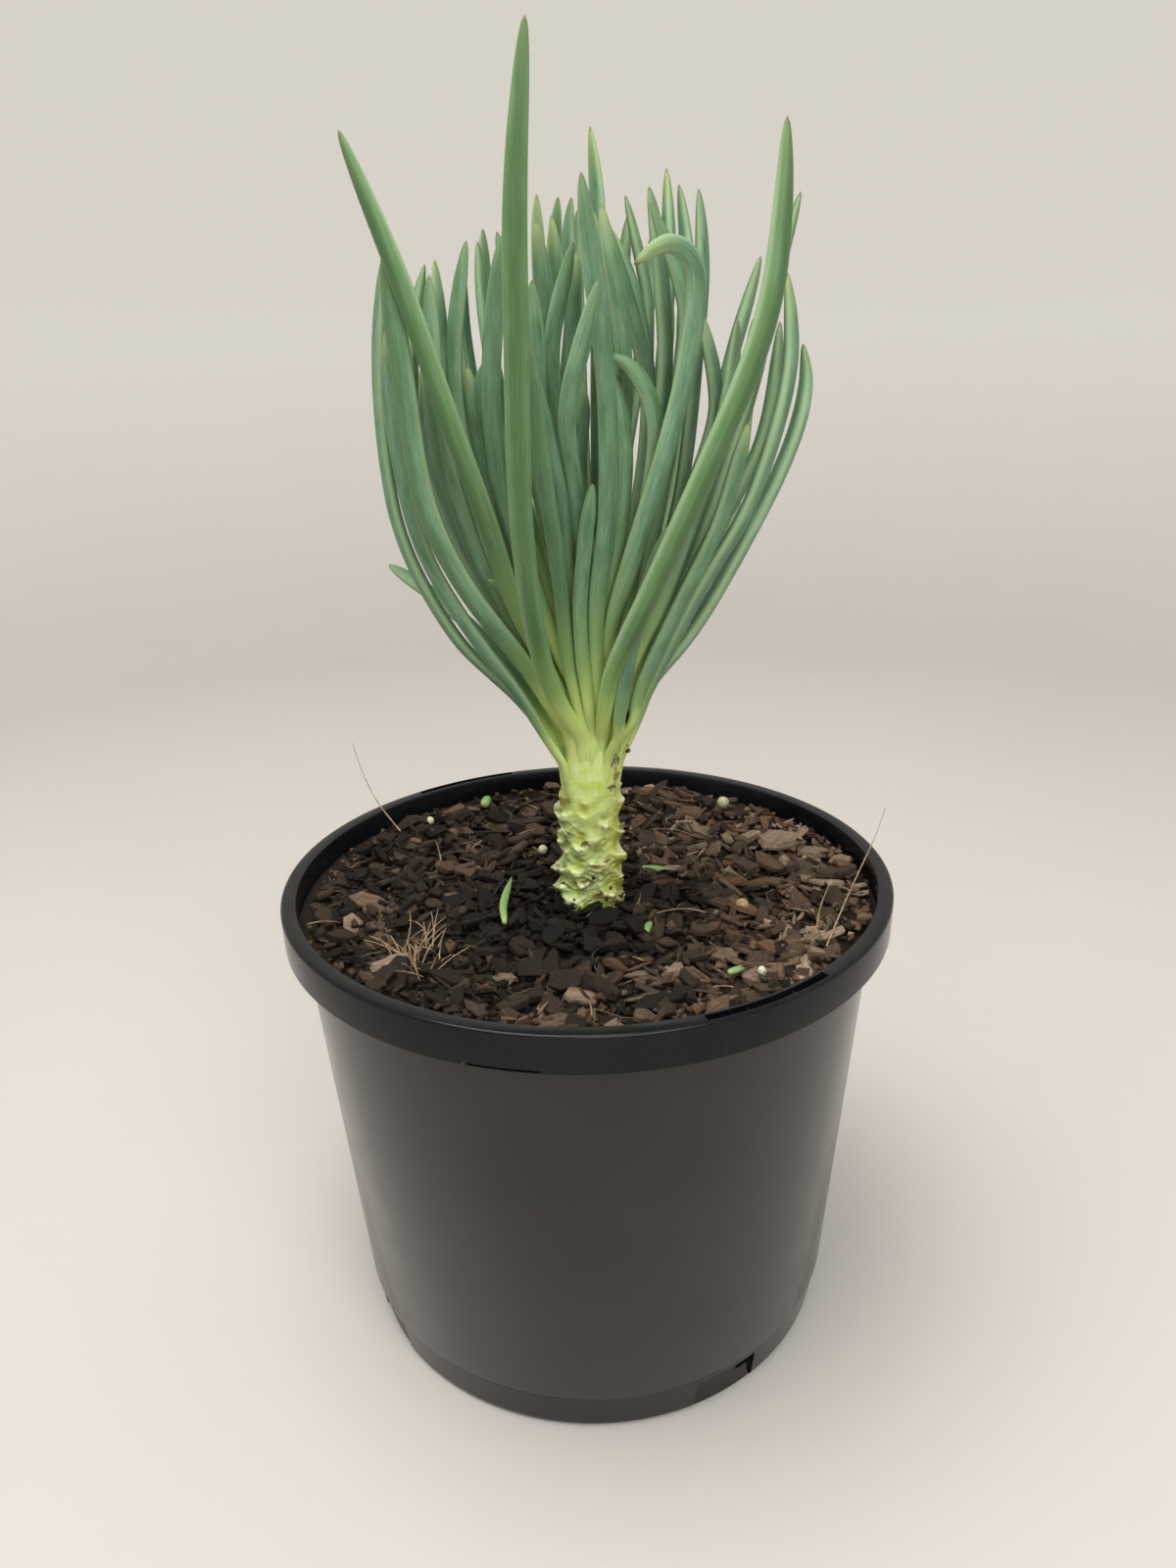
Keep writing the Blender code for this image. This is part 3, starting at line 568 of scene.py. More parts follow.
def leaf_material(name, tint):
    """Fleshy skin under a chalky bloom: pale at the base, striped along its length, yellower at the tip.
    The mesh holds rise (distance from the base, 1 for 100 mm), along (1 at the tip), face (1 in the
    middle of both faces), edge (1 at the margins), tone (how light the leaf is), gold (how yellow it
    is), pale (how far its pale base reaches) and skin (a place stretched along the leaf)."""
    shader = Shader(name, Specular_IOR_Level=0.35)
    along, rise, pale = shader.attributes("along", "rise", "pale")
    tone, gold, edge, face = shader.attributes("tone", "gold", "edge", "face")
    skin = shader.attribute("skin", "Vector")
    streaks = shader.noise(skin, 1.1, 5.0, 0.58)
    fine = shader.noise(shader.stretched(skin, (4.0, 4.0, 2.2)), 2.2, 4.0, 0.6)
    lines = shader.noise(shader.stretched(skin, (7.0, 7.0, 0.35)), 2.0, 3.0, 0.5)
    bloom = shader.ramp(streaks, (0.32, 0.05), (0.62, 0.95))
    bloom = shader.times(bloom, shader.ramp(fine, (0.25, 0.50), (0.6, 1.0)))
    bloom = shader.times(bloom, shader.ramp(gold, (0.0, 0.85), (1.0, 0.24)))
    bloom = shader.times(bloom, shader.ramp(tone, (0.0, 0.62), (1.0, 1.0)))
    stripe = shader.ramp(face, (0.72, 0.0), (0.96, 0.75))
    stripe = shader.times(stripe, shader.ramp(gold, (0.0, 0.35), (1.0, 1.0)))
    spots = shader.ramp(shader.cells(skin, 2.6), (0.05, 0.75), (0.10, 0.0))
    rare = shader.ramp(shader.noise(skin, 0.45, 2.0), (0.60, 0.0), (0.66, 1.0))
    reach = shader.math("SUBTRACT", 1.9, shader.times(pale, 1.15))
    foot = shader.math("ADD", rise, shader.times(shader.math("SUBTRACT", streaks, 0.5), 0.10))
    foot = shader.times(foot, reach)
    shader.colour = shader.mix(tone, (0.050, 0.135, 0.074), (0.095, 0.215, 0.100))
    shader.paint(gold, (0.100, 0.205, 0.055))
    shader.paint(bloom, (0.290, 0.470, 0.325))
    shader.paint(stripe, (0.052, 0.118, 0.034))
    shader.paint(lines, (0.052, 0.125, 0.056), (0.38, 0.40), (0.54, 0.0))
    shader.paint(lines, (0.290, 0.410, 0.250), (0.58, 0.0), (0.72, 0.25))
    shader.paint(shader.times(edge, 0.80), (0.400, 0.560, 0.320))
    shader.paint(shader.times(spots, rare), (0.055, 0.085, 0.030))
    shader.paint(foot, (0.310, 0.480, 0.140), (0.08, 0.85), (0.42, 0.0))
    shader.paint(foot, (0.600, 0.730, 0.240), (0.03, 0.92), (0.20, 0.0))
    shader.paint(along, tint, (0.90, 0.0), (0.985, 0.50))
    shader.paint(along, (0.130, 0.095, 0.030), (0.988, 0.0), (0.998, 0.85))
    rough = shader.ramp(bloom, (0.1, 0.42), (0.7, 0.62))
    height = shader.math("ADD", shader.times(lines, 0.5), shader.times(fine, 0.5))
    return shader.finish(rough, height, 0.12, 0.8)


def stem_material():
    """Pale yellow-green skin, whiter on the raised lips, with painted shade in their hollows, yellow in
    the scars, brown where it is torn and soiled at the foot."""
    shader = Shader("stem_skin", Specular_IOR_Level=0.45)
    where = shader.place()
    scar, edge, pit, low = shader.attributes("scar", "edge", "pit", "low")
    torn, green, dirt, yellow = shader.attributes("torn", "green", "dirt", "yellow")
    streak = shader.noise(shader.place((1.0, 1.0, 0.10)), 0.75, 4.0, 0.6)
    blotch = shader.ramp(shader.noise(where, 0.42, 5.0, 0.65), (0.52, 0.0), (0.66, 0.7))
    pores = shader.times(shader.ramp(shader.cells(where, 0.95), (0.10, 0.5), (0.30, 0.0)), scar)
    brown = shader.times(shader.ramp(shader.noise(where, 0.8, 4.0), (0.42, 0.0), (0.60, 1.0)), torn)
    soil = shader.times(shader.ramp(shader.noise(where, 0.7, 5.0, 0.7), (0.42, 0.0), (0.56, 0.95)), dirt)
    pale, bright = (0.560, 0.680, 0.185), (0.730, 0.830, 0.370)
    shader.base(shader.noise(where, 0.16, 4.0), pale, bright, (0.35, 0.0), (0.65, 1.0))
    shader.paint(streak, (0.400, 0.520, 0.130), (0.40, 0.28), (0.54, 0.0))
    # Painted shade: darker green over the lower, crusted stem, which the leaves shade.
    shader.paint(shader.times(low, 0.60), (0.420, 0.540, 0.230))
    shader.paint(shader.noise(where, 0.24, 3.0), (0.520, 0.640, 0.110), (0.50, 0.0), (0.66, 0.8))
    # Painted shade: darker green inside the hollow above each lip.
    shader.paint(pit, (0.220, 0.310, 0.060), (0.35, 0.0), (0.95, 0.70))
    shader.paint(shader.times(blotch, low), (0.230, 0.320, 0.070))
    # Painted shade: dark green down the stem's left side, in bands up it.
    shader.paint(shader.times(green, 0.8), (0.170, 0.250, 0.075))
    shader.paint(shader.times(yellow, 0.7), (0.560, 0.560, 0.090))
    shader.paint(edge, (0.760, 0.840, 0.480), (0.15, 0.0), (0.8, 0.9))
    shader.paint(scar, (0.420, 0.410, 0.055), (0.2, 0.0), (0.9, 0.85))
    shader.paint(pores, (0.240, 0.190, 0.040))
    shader.paint(brown, (0.210, 0.120, 0.040))
    shader.paint(soil, (0.050, 0.036, 0.018))
    rough = shader.ramp(shader.noise(where, 0.5, 3.0), (0.3, 0.32), (0.7, 0.55))
    return shader.finish(rough, shader.noise(where, 1.5, 5.0, 0.65), 0.22)


def flake_material():
    """Thin dead skin: pale green to papery brown."""
    shader = Shader("stem_flakes", Specular_IOR_Level=0.3, Roughness=0.6)
    veins = shader.noise(shader.place((1.0, 1.0, 0.3)), 1.6, 4.0)
    shader.colour = shader.mix(shader.attribute("green"), (0.300, 0.210, 0.110), (0.520, 0.600, 0.290))
    shader.paint(veins, (0.200, 0.190, 0.070), (0.42, 0.6), (0.60, 0.0))
    return shader.finish(None, veins, 0.1)


def bark_material(name):
    """Composted bark: each chip its own brown, with grain along it, and darker where it is wet."""
    shader = Shader(name, Specular_IOR_Level=0.2)
    tint, wet = shader.attributes("tint", "wet")
    stretched = shader.stretched(shader.attribute("grain", "Vector"), (0.35, 2.2, 2.2))
    grain = shader.noise(stretched, 0.8, 6.0, 0.7)
    shader.colour = shader.ramp(
        tint, (0.0, (0.008, 0.005, 0.003)), (0.25, (0.026, 0.016, 0.009)), (0.50, (0.066, 0.043, 0.026)),
        (0.70, (0.130, 0.084, 0.052)), (0.80, (0.160, 0.088, 0.048)), (0.88, (0.200, 0.145, 0.098)),
        (1.0, (0.340, 0.255, 0.180)))
    shader.shade(grain, (0.42, 0.38, 0.36), (0.36, 1.0), (0.58, 0.0))
    shader.shade(grain, (1.85, 1.80, 1.70), (0.58, 0.0), (0.76, 0.8))
    shader.shade(wet, (0.12, 0.11, 0.09))
    return shader.finish(shader.ramp(wet, (0.0, 0.70), (1.0, 0.60)), grain, 0.35)


def soil_material():
    """The fine dark base of the mix between the chips."""
    shader = Shader("potting_mix", Specular_IOR_Level=0.2, Roughness=0.95)
    where = shader.place()
    crumbs, cloud = shader.cells(where, 0.55), shader.noise(where, 0.12, 5.0, 0.65)
    shader.base(cloud, (0.006, 0.004, 0.003), (0.030, 0.019, 0.011), (0.35, 0.0), (0.68, 1.0))
    shader.paint(crumbs, (0.016, 0.011, 0.008), (0.15, 0.0), (0.55, 0.7))
    return shader.finish(None, shader.math("ADD", shader.times(crumbs, -0.7), cloud), 1.2)


def straw_material(name, pale, dark):
    """Dry plant fibre, uneven along its length."""
    shader = Shader(name, Specular_IOR_Level=0.3, Roughness=0.7)
    shader.base(shader.noise(shader.place(), 0.35, 3.0), dark, pale, (0.35, 0.0), (0.65, 1.0))
    return shader.finish()


def bead_material():
    """The coat of a slow-release fertiliser bead, with a little soil on it."""
    shader = Shader("bead", Specular_IOR_Level=0.5, Roughness=0.4)
    where = shader.place()
    stops = ((0.0, (0.36, 0.24, 0.075)), (0.5, (0.42, 0.44, 0.26)), (1.0, (0.62, 0.60, 0.45)))
    shader.colour = shader.ramp(shader.attribute("tint"), *stops)
    shader.paint(shader.noise(where, 0.9, 4.0), (0.060, 0.040, 0.025), (0.55, 0.0), (0.70, 0.8))
    return shader.finish(None, shader.noise(where, 2.0), 0.1)


# ---------------------------------------------------------------- pot


def body_radius(height):
    share = (height - FOOT_STEP_HEIGHT) / (LEDGE_HEIGHT - FOOT_STEP_HEIGHT)
    return (1 - share) * BODY_FOOT_RADIUS + share * BODY_TOP_RADIUS


def pot_profile():
    """The CAD pot's outline with its edges rounded finer."""
    floor_top = FLOOR_HEIGHT + WALL
    ring = FOOT_RADIUS - FOOT_RING
    band = RIM_RADIUS - BAND_WALL
    foot, edge = [], []
    for turn in np.linspace(0.5, math.pi / 2, 6):
        foot.append((FOOT_RADIUS - 3 + 2.4 * math.sin(turn), 2.6 - 2.6 * math.cos(turn)))
    for turn in np.linspace(0, math.pi / 2, 7):
        out, up = EDGE_ROUND * math.cos(turn), EDGE_ROUND * math.sin(turn)
        edge.append((RIM_RADIUS - EDGE_ROUND + out, POT_HEIGHT - EDGE_ROUND + up))
    return [
        (0.0, FLOOR_HEIGHT),
        (ring - 1.2, FLOOR_HEIGHT),
        (ring, 0.5),
        (ring + 0.6, 0.0),
        (FOOT_RADIUS - 2.0, 0.0),
        *foot,
        (BODY_FOOT_RADIUS - 0.70, FOOT_STEP_HEIGHT - 1.3),
        (BODY_FOOT_RADIUS - 0.95, FOOT_STEP_HEIGHT - 1.0),
        (BODY_FOOT_RADIUS - 1.60, FOOT_STEP_HEIGHT - 0.8),
        (BODY_FOOT_RADIUS - 1.60, FOOT_STEP_HEIGHT - 0.4),
        (BODY_FOOT_RADIUS - 0.15, FOOT_STEP_HEIGHT - 0.3),
        (BODY_FOOT_RADIUS, FOOT_STEP_HEIGHT + 0.1),
        (body_radius(LEDGE_HEIGHT - WALL), LEDGE_HEIGHT - WALL),
        (LEDGE_RADIUS + WALL, LEDGE_HEIGHT),
        (LEDGE_RADIUS + WALL, POT_HEIGHT - WALL),
        (band, POT_HEIGHT - WALL),
        (band + 0.2, BAND_FOOT + 0.1),
        (band + 0.4, BAND_FOOT),
        (RIM_RADIUS - 0.5, BAND_FOOT),
        (RIM_RADIUS - 0.2, BAND_FOOT + 0.3),
        *edge,
        (LEDGE_RADIUS + 0.9, POT_HEIGHT),
        (LEDGE_RADIUS + 0.25, POT_HEIGHT - 0.2),
        (LEDGE_RADIUS, POT_HEIGHT - 0.8),
        (LEDGE_RADIUS, LEDGE_HEIGHT + LEDGE_SLOPE),
        (body_radius(LEDGE_HEIGHT) - WALL, LEDGE_HEIGHT - LEDGE_SLOPE),
        (body_radius(FOOT_STEP_HEIGHT + 4) - WALL, FOOT_STEP_HEIGHT + 4),
        (body_radius(FOOT_STEP_HEIGHT) - WALL - 0.7, FOOT_STEP_HEIGHT),
        (FOOT_RADIUS + FOOT_TAPER - WALL - 0.7, FOOT_STEP_HEIGHT - 2),
        (FOOT_RADIUS - WALL, floor_top + 2),
        (FOOT_RADIUS - WALL - 2, floor_top),
        (0.0, floor_top),
    ]


def cut_slots(pot):
    """The label slots in the rim, each with two ribs across it."""
    inner, outer = LEDGE_RADIUS + WALL, RIM_RADIUS - BAND_WALL
    middle = (inner + outer) / 2
    near, far = middle - SLOT_WIDTH / 2, middle + SLOT_WIDTH / 2
    for azimuth in SLOT_AZIMUTHS:
        combine(pot, sector(near, far, POT_HEIGHT - 3, POT_HEIGHT + 2, azimuth, SLOT_SPAN, 24))
        for turn in (azimuth - 4.5, azimuth + 4.5):
            rib = sector(inner - 0.8, outer + 0.8, LEDGE_HEIGHT + 2, POT_HEIGHT - 0.9, turn, 0.6, 1)
            combine(pot, rib, "UNION")


def cut_notches(pot):
    """The drain notches in the foot, each closed by a panel between two posts. A stepped drain hole
    goes through the panel."""
    back, top = FOOT_RADIUS - 3.4, NOTCH_HEIGHT + 1
    for azimuth in NOTCH_AZIMUTHS:
        deep, out = FOOT_RADIUS - NOTCH_DEPTH, BODY_FOOT_RADIUS + 2
        combine(pot, sector(deep, out, -2, NOTCH_HEIGHT, azimuth, NOTCH_SPAN, 12))
        combine(pot, sector(back, FOOT_RADIUS - 1.7, 0.3, top, azimuth, NOTCH_SPAN + 1.0, 12), "UNION")
        for side in (-1, 1):
            end = azimuth + side * (NOTCH_SPAN / 2 + 0.6)
            combine(pot, sector(back, FOOT_RADIUS - 0.8, 3.0, top, end, 1.2, 1), "UNION")
        for turn, span, bottom in ((5.8, 4.2, 6.4), (2.2, 4.0, 8.6)):
            turn += azimuth
            combine(pot, sector(FOOT_RADIUS - 6, FOOT_RADIUS, bottom, NOTCH_HEIGHT - 0.3, turn, span, 4))


def cut_band(pot):
    """The shallow groove along the front of the band's foot, and the nick at its left."""
    out = RIM_RADIUS + 1
    combine(pot, sector(RIM_RADIUS - 0.9, out, BAND_FOOT + 0.5, BAND_FOOT + 1.1, -13.0, 11.5, 10))
    combine(pot, sector(RIM_RADIUS - 3, out, BAND_FOOT - 1, BAND_FOOT + 1.4, -19.6, 0.9, 2))


def combine(piece, cutter, operation="DIFFERENCE"):
    modifier = piece.modifiers.new(operation.lower(), "BOOLEAN")
    modifier.operation = operation
    modifier.object = cutter


def apply_modifiers(piece):
    """Leaves the evaluated mesh on the piece, and drops the cutters."""
    graph = bpy.context.evaluated_depsgraph_get()
    mesh = bpy.data.meshes.new_from_object(piece.evaluated_get(graph))
    cutters = {modifier.object for modifier in piece.modifiers if modifier.type == "BOOLEAN"}
    piece.modifiers.clear()
    piece.data = mesh
    for cutter in cutters:
        bpy.data.objects.remove(cutter, do_unlink=True)


def make_pot():
    """The pot in one piece. The band's plastic is painted darker and bluer: painted shade for its dark
    reflection.
    """
    points, faces = turned(pot_profile(), POT_SIDES)
    body = pot_material("pot_plastic", 0.46, (0.0070, 0.0070, 0.0080), (0.0115, 0.0110, 0.0105))
    # Painted shade: the band's copy of the plastic is darker, bluer and less shiny than the body's.
    band = pot_material("pot_rim_painted_shade", 0.2, (0.0035, 0.0045, 0.0060), (0.0070, 0.0080, 0.0092))
    pot = add_piece("pot", points, faces, body, sharp_angle=POT_SHARP_ANGLE)
    cut_slots(pot)
    cut_notches(pot)
    cut_band(pot)
    bevel = pot.modifiers.new("edges", "BEVEL")
    bevel.width = 0.22 * MM
    bevel.segments = 2
    bevel.limit_method = "ANGLE"
    bevel.angle_limit = math.radians(50)
    apply_modifiers(pot)
    pot.data.shade_smooth()
    pot.data.set_sharp_from_angle(angle=math.radians(POT_SHARP_ANGLE))
    pot.data.materials.append(band)
    for face in pot.data.polygons:
        face.material_index = int(face.center.z / MM > BAND_FOOT - 0.2)
    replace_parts(pot, "nursery_pot")


# ---------------------------------------------------------------- stem and leaves


def stem_centre(height):
    return STEM_FOOT_X + STEM_LEAN * (height - MIX_HEIGHT)


def stem_radius(height):
    share = np.clip((height - STEM_SHOULDER) / (STEM_TOP - STEM_SHOULDER), 0.0, 1.0)
    return (1 - share**1.3) * STEM_DIAMETER / 2 + share**1.3 * STEM_TOP_DIAMETER / 2


def leaf_radius(share, thickness, point_share):
    """Radius along a leaf: narrow where it clasps the stem, full from a third up, and a pointed tip."""
    swell = np.clip(share / 0.35, 0, 1)
    swell = LEAF_BASE_SHARE + (1 - LEAF_BASE_SHARE) * swell * swell * (3 - 2 * swell)
    point = np.clip((1 - share) / point_share, 0.0, 1.0)
    return thickness / 2 * swell * np.maximum(0.1, (point * (2 - point)) ** 0.55)


def point_share_of(name):
    """The share of a leaf's length that its point takes: the tallest leaves narrow more slowly."""
    return TALL_POINT_SHARE if name.startswith("leaf_tall") else LEAF_POINT_SHARE


def leaf_centreline(thickness, base, stops):
    azimuth, height = base
    height += POT_HEIGHT
    foot = place(azimuth, stem_radius(height) + thickness * LEAF_BASE_SHARE / 2 + LEAF_GAP, height)
    foot[0] += stem_centre(height)
    path = [place(turn, reach, POT_HEIGHT + rise) for turn, reach, rise in stops]
    return smooth_path([foot, *path], LEAF_STEPS)


def settled(lines, radii, held=0):
    """The centrelines moved as little as keeps every leaf clear of its neighbours and of the stem.
    The first ones, as many as held says, stay where they are."""
    lines = np.array(lines)
    radii = np.array(radii)
    count, steps = radii.shape
    goal = lines.copy()
    owner = np.repeat(np.arange(count), steps)
    free = (owner >= held).astype(float)
    flat_radii = radii.reshape(-1)
    first = second = None
    for turn in range(SETTLE_ROUNDS):
        flat = lines.reshape(-1, 3)
        if turn % 8 == 0:
            square = (flat**2).sum(axis=1)
            gaps = square[:, None] + square[None, :] - 2 * flat @ flat.T
            limit = (flat_radii[:, None] + flat_radii[None, :] + LEAF_GAP + 2.0) ** 2
            first, second = np.nonzero(np.triu((gaps < limit) & (owner[:, None] != owner[None, :])))
        apart = flat[first] - flat[second]
        distance = np.linalg.norm(apart, axis=1) + 1e-9
        short = flat_radii[first] + flat_radii[second] + LEAF_GAP - distance
        close = short > 0
        push = apart[close] * (0.5 * short[close] / distance[close])[:, None]
        shift = np.zeros_like(flat)
        weight = np.zeros(len(flat))
        np.add.at(shift, first[close], push)
        np.add.at(shift, second[close], -push)
        np.add.at(weight, first[close], 1)
        np.add.at(weight, second[close], 1)
        flat = flat + shift * (free / np.maximum(1, weight**0.5))[:, None]
        lines = flat.reshape(count, steps, 3)
        if turn < SETTLE_ROUNDS - FREE_ROUNDS:
            offset = lines - goal
            for _ in range(3):
                padded = np.concatenate((offset[:, :1], offset, offset[:, -1:]), axis=1)
                offset = 0.5 * offset + 0.25 * (padded[:, :-2] + padded[:, 2:])
            lines = goal + 0.998 * offset
        centres = np.stack((stem_centre(lines[:, :, 2]), np.zeros((count, steps))), axis=2)
        away = lines[:, :, :2] - centres
        reach = np.linalg.norm(away, axis=2)
        need = stem_radius(lines[:, :, 2]) + radii + LEAF_GAP
        below_top = lines[:, :, 2] < STEM_TOP + 6
        lack = np.where(below_top & (reach < need), need - reach, 0.0)
        lines[:, :, :2] += away / (reach[:, :, None] + 1e-9) * lack[:, :, None]
        lines[:held] = goal[:held]
    return lines


def leaf_lines():
    """The settled centrelines of the CAD leaves, then those of the inner leaves fitted between them."""
    steps = np.linspace(0, 1, LEAF_STEPS)
    lines, radii = [], []
    for name, thickness, base, *stops in LEAVES + YOUNG_LEAVES:
        lines.append(leaf_centreline(thickness, base, stops))
        radii.append(leaf_radius(steps, thickness, point_share_of(name)))
    held = len(LEAVES)
    lines[:held] = settled(lines[:held], radii[:held])
    return settled(lines, radii, held)


def leaf_middle(line, thickness, base, run_down):
    """The leaf's centreline in LEAF_RINGS points, and how far each is past the base. It starts sunk in
    the stem, run_down below the base."""
    azimuth, height = base[0], base[1] + POT_HEIGHT
    tail = []
    for drop, sink in ((1.0, 3.6), (0.62, 1.9), (0.28, 0.5)):
        level = height - drop * run_down
        point = place(azimuth, stem_radius(level) - sink * thickness / 7, level)
        tail.append(point + (stem_centre(level), 0, 0))
    whole = smoothed(smooth_path([*tail, *line[3::4], line[-1]], LEAF_RINGS * 2), 8)
    shares = np.linspace(0, 1, LEAF_RINGS)
    closer_at_ends = np.clip(shares - 0.06 * np.sin(2 * math.pi * shares), 0, 1)
    run = closer_at_ends * distances(whole)[-1]
    return points_at(whole, run), run - (run[-1] - distances(line)[-1])


def leaf_girth(name, thickness, share, tail_share, rng):
    """Half the width and half the depth of each ring."""
    point = np.clip((1 - share) / point_share_of(name), 0.0, 1.0)
    bluntness = 0.48 if name.startswith("leaf_tall") else 0.58
    taper = thickness / 2 * np.maximum(0.03, (point * (2 - point)) ** bluntness)
    wander = np.array([noise.noise(Vector((s * 5, rng.uniform(0, 0.02), thickness * 9))) for s in share])
    wide = (1.02 + 0.05 * wander) * (0.86 + 0.14 * ease(share, 0.02, 0.3)) * (0.7 + 0.3 * tail_share)
    deep = (0.56 + 0.36 * ease(share, 0.04, 0.30)) * (0.75 + 0.25 * tail_share)
    return taper * wide, taper * deep


def leaf_points(line, name, thickness, base, rng):
    """A leaf's skin and its attributes. It clasps the stem with a flat base that runs down it as a
    ridge, is flatter on the side that faces the stem, and has faint ribs along it."""
    height = base[1] + POT_HEIGHT
    line = smoothed(line, 6)
    run_down = TAIL_LENGTH * rng.uniform(0.75, 1.25)
    run_down *= 1 - ease(height, STEM_SHOULDER + 18, STEM_SHOULDER + 34)
    run_down = max(4.0, min(run_down, height - MIX_HEIGHT - 8))
    middle, rise = leaf_middle(line, thickness, base, run_down)
    share = np.clip(rise / distances(line)[-1], 0, 1)
    wide, deep = leaf_girth(name, thickness, share, ease(rise, -run_down, 1.0), rng)
    turns = full_circle(LEAF_SIDES)
    swell = 1 + 0.018 * np.cos(5 * turns + rng.uniform(0, 6)) + 0.012 * np.cos(9 * turns)
    across = np.cos(turns) * swell
    through = np.sin(turns) * swell * (1 - 0.18 * np.clip(np.sin(turns), 0, 1) ** 2)
    inward = unit(middle * (-1, -1, 0) + np.outer(stem_centre(middle[:, 2]), (1, 0, 0)))
    along = unit(np.gradient(middle, axis=0))
    side = np.cross((0, 0, 1), middle[1] * (1, 1, 0))
    start = rng.uniform(0, 50)
    points, skin = [], []
    for ring in range(LEAF_RINGS):
        side = unit(side - along[ring] * side.dot(along[ring]))
        face = np.cross(side, along[ring])
        if face.dot(inward[ring]) < 0:
            face = -face
        outline = np.outer(wide[ring] * across, side) + np.outer(deep[ring] * through, face)
        points.append(middle[ring] + outline)
        place_along = np.full(LEAF_SIDES, start + rise[ring] / 12)
        skin.append(np.column_stack((np.cos(turns), np.sin(turns), place_along)))
    margin = np.cos(turns - 0.25 * np.sign(np.cos(turns))) ** 2
    attributes = {
        "along": np.repeat(share, LEAF_SIDES),
        "rise": np.repeat(rise / 100, LEAF_SIDES),
        "face": np.tile(np.abs(np.sin(turns)), LEAF_RINGS),
        "edge": np.tile(np.clip(margin, 0, 1) ** 5, LEAF_RINGS),
        "skin": np.vstack(skin),
    }
    return np.vstack(points), attributes


def make_leaves():
    """Every leaf as its own piece, in place of its CAD solid, and the young leaves between them."""
    green_tip = leaf_material("leaf_skin_green_tip", (0.160, 0.240, 0.090))
    yellow_tip = leaf_material("leaf_skin_yellow_tip", (0.400, 0.460, 0.170))
    for number, (leaf, line) in enumerate(zip(LEAVES + YOUNG_LEAVES, leaf_lines())):
        name, thickness, base = leaf[:3]
        rng = np.random.default_rng(100 + number)
        points, attributes = leaf_points(line, name, thickness, base, rng)
        tall = name.startswith("leaf_tall")
        attributes["tone"] = rng.uniform(0.0, 1.0)
        attributes["pale"] = ease(base[1], 44, 60)
        attributes["gold"] = 0.9 if tall else rng.uniform(0.0, 0.6) ** 1.5
        material = yellow_tip if number % 3 == 0 and not tall else green_tip
        faces = ring_faces(LEAF_RINGS, LEAF_SIDES)
        replace_node(add_piece(f"fine_{name}", points, faces, material, attributes), name)


def crust_share(azimuth, height):
    """1 where the stem is crusted with old leaf bases: low at the front, higher at the sides."""
    across = (azimuth + 4 + 180) % 360 - 180
    top = MIX_HEIGHT + 17 + 17 * (1 - bell(across, 44))
    ragged = 3 * np.sin(np.radians(azimuth) * 5 + 0.7)
    return 1 - ease(height + ragged, top, top + 13)


def scar_places():
    """(azimuth, height, half width, lip height, hollow) of the old leaf marks, in the leaves' spiral."""
    rng = np.random.default_rng(7)
    places = [(-14.0, STEM_SHOULDER - 23.0, 1.8, 0.6, 1.0)]
    for rise in (5.0, 13.0, 21.0):
        places.append((-80.0, MIX_HEIGHT + rise, 2.4, 2.9, 0.5))
        places.append((68.0, MIX_HEIGHT + rise + 4, 2.2, 2.7, 0.8))
    for number in range(54):
        height = MIX_HEIGHT - 2 + 0.86 * number + rng.uniform(-1.2, 1.2)
        azimuth = GOLDEN_ANGLE * number + rng.uniform(-22, 22)
        fade = 0.12 + 0.88 * float(crust_share(azimuth, height))
        size = rng.uniform(1.6, 4.0)
        lip = rng.uniform(0.7, 3.0) * fade
        places.append((azimuth, height, size, lip, rng.random() ** 2 * fade))
    return places


def stem_marks(azimuths, heights):
    """The old leaf marks over the stem: how far they raise its skin, and the attributes they give it.
    Each is a crescent lip that stands out over a hollow scar."""
    relief, scar, edge, torn, pit = np.zeros((5, STEM_ROWS, STEM_SIDES))
    rng = np.random.default_rng(21)
    for azimuth, height, size, lip, hollow in scar_places():
        full = min(1.0, lip)
        across = np.radians((azimuths - azimuth + 180) % 360 - 180) * STEM_DIAMETER / 2
        up = heights - height - 0.16 / size * across**2 + 0.25 * across * rng.uniform(-1, 1)
        crescent = bell(across, 1.15 * size)
        ledge = bell(np.where(up < 0, up / (1.3 * size), up / 0.6), 1.0) * crescent
        inside = bell(up - 1.5 * size, 0.95 * size) * crescent
        relief += lip * ledge - 0.95 * full * inside
        edge = np.maximum(edge, bell(up + 0.1, 0.6) * crescent * full)
        scar = np.maximum(scar, inside * hollow)
        # Painted shade for the hollow above each lip.
        pit = np.maximum(pit, inside * full)
        torn = np.maximum(torn, ledge * (rng.random() < 0.3) * full)
    return relief, {"scar": scar, "edge": edge, "torn": torn, "pit": pit}


def stem_noise(turns, heights, across, along, seed):
    """Noise over the stem that closes round it."""
    rows = []
    for height in heights[:, 0]:
        level = height / along + seed
        rows.append([noise.noise(Vector((math.sin(turn) * across, math.cos(turn) * across, level)))
                     for turn in turns[0]])
    return np.array(rows)


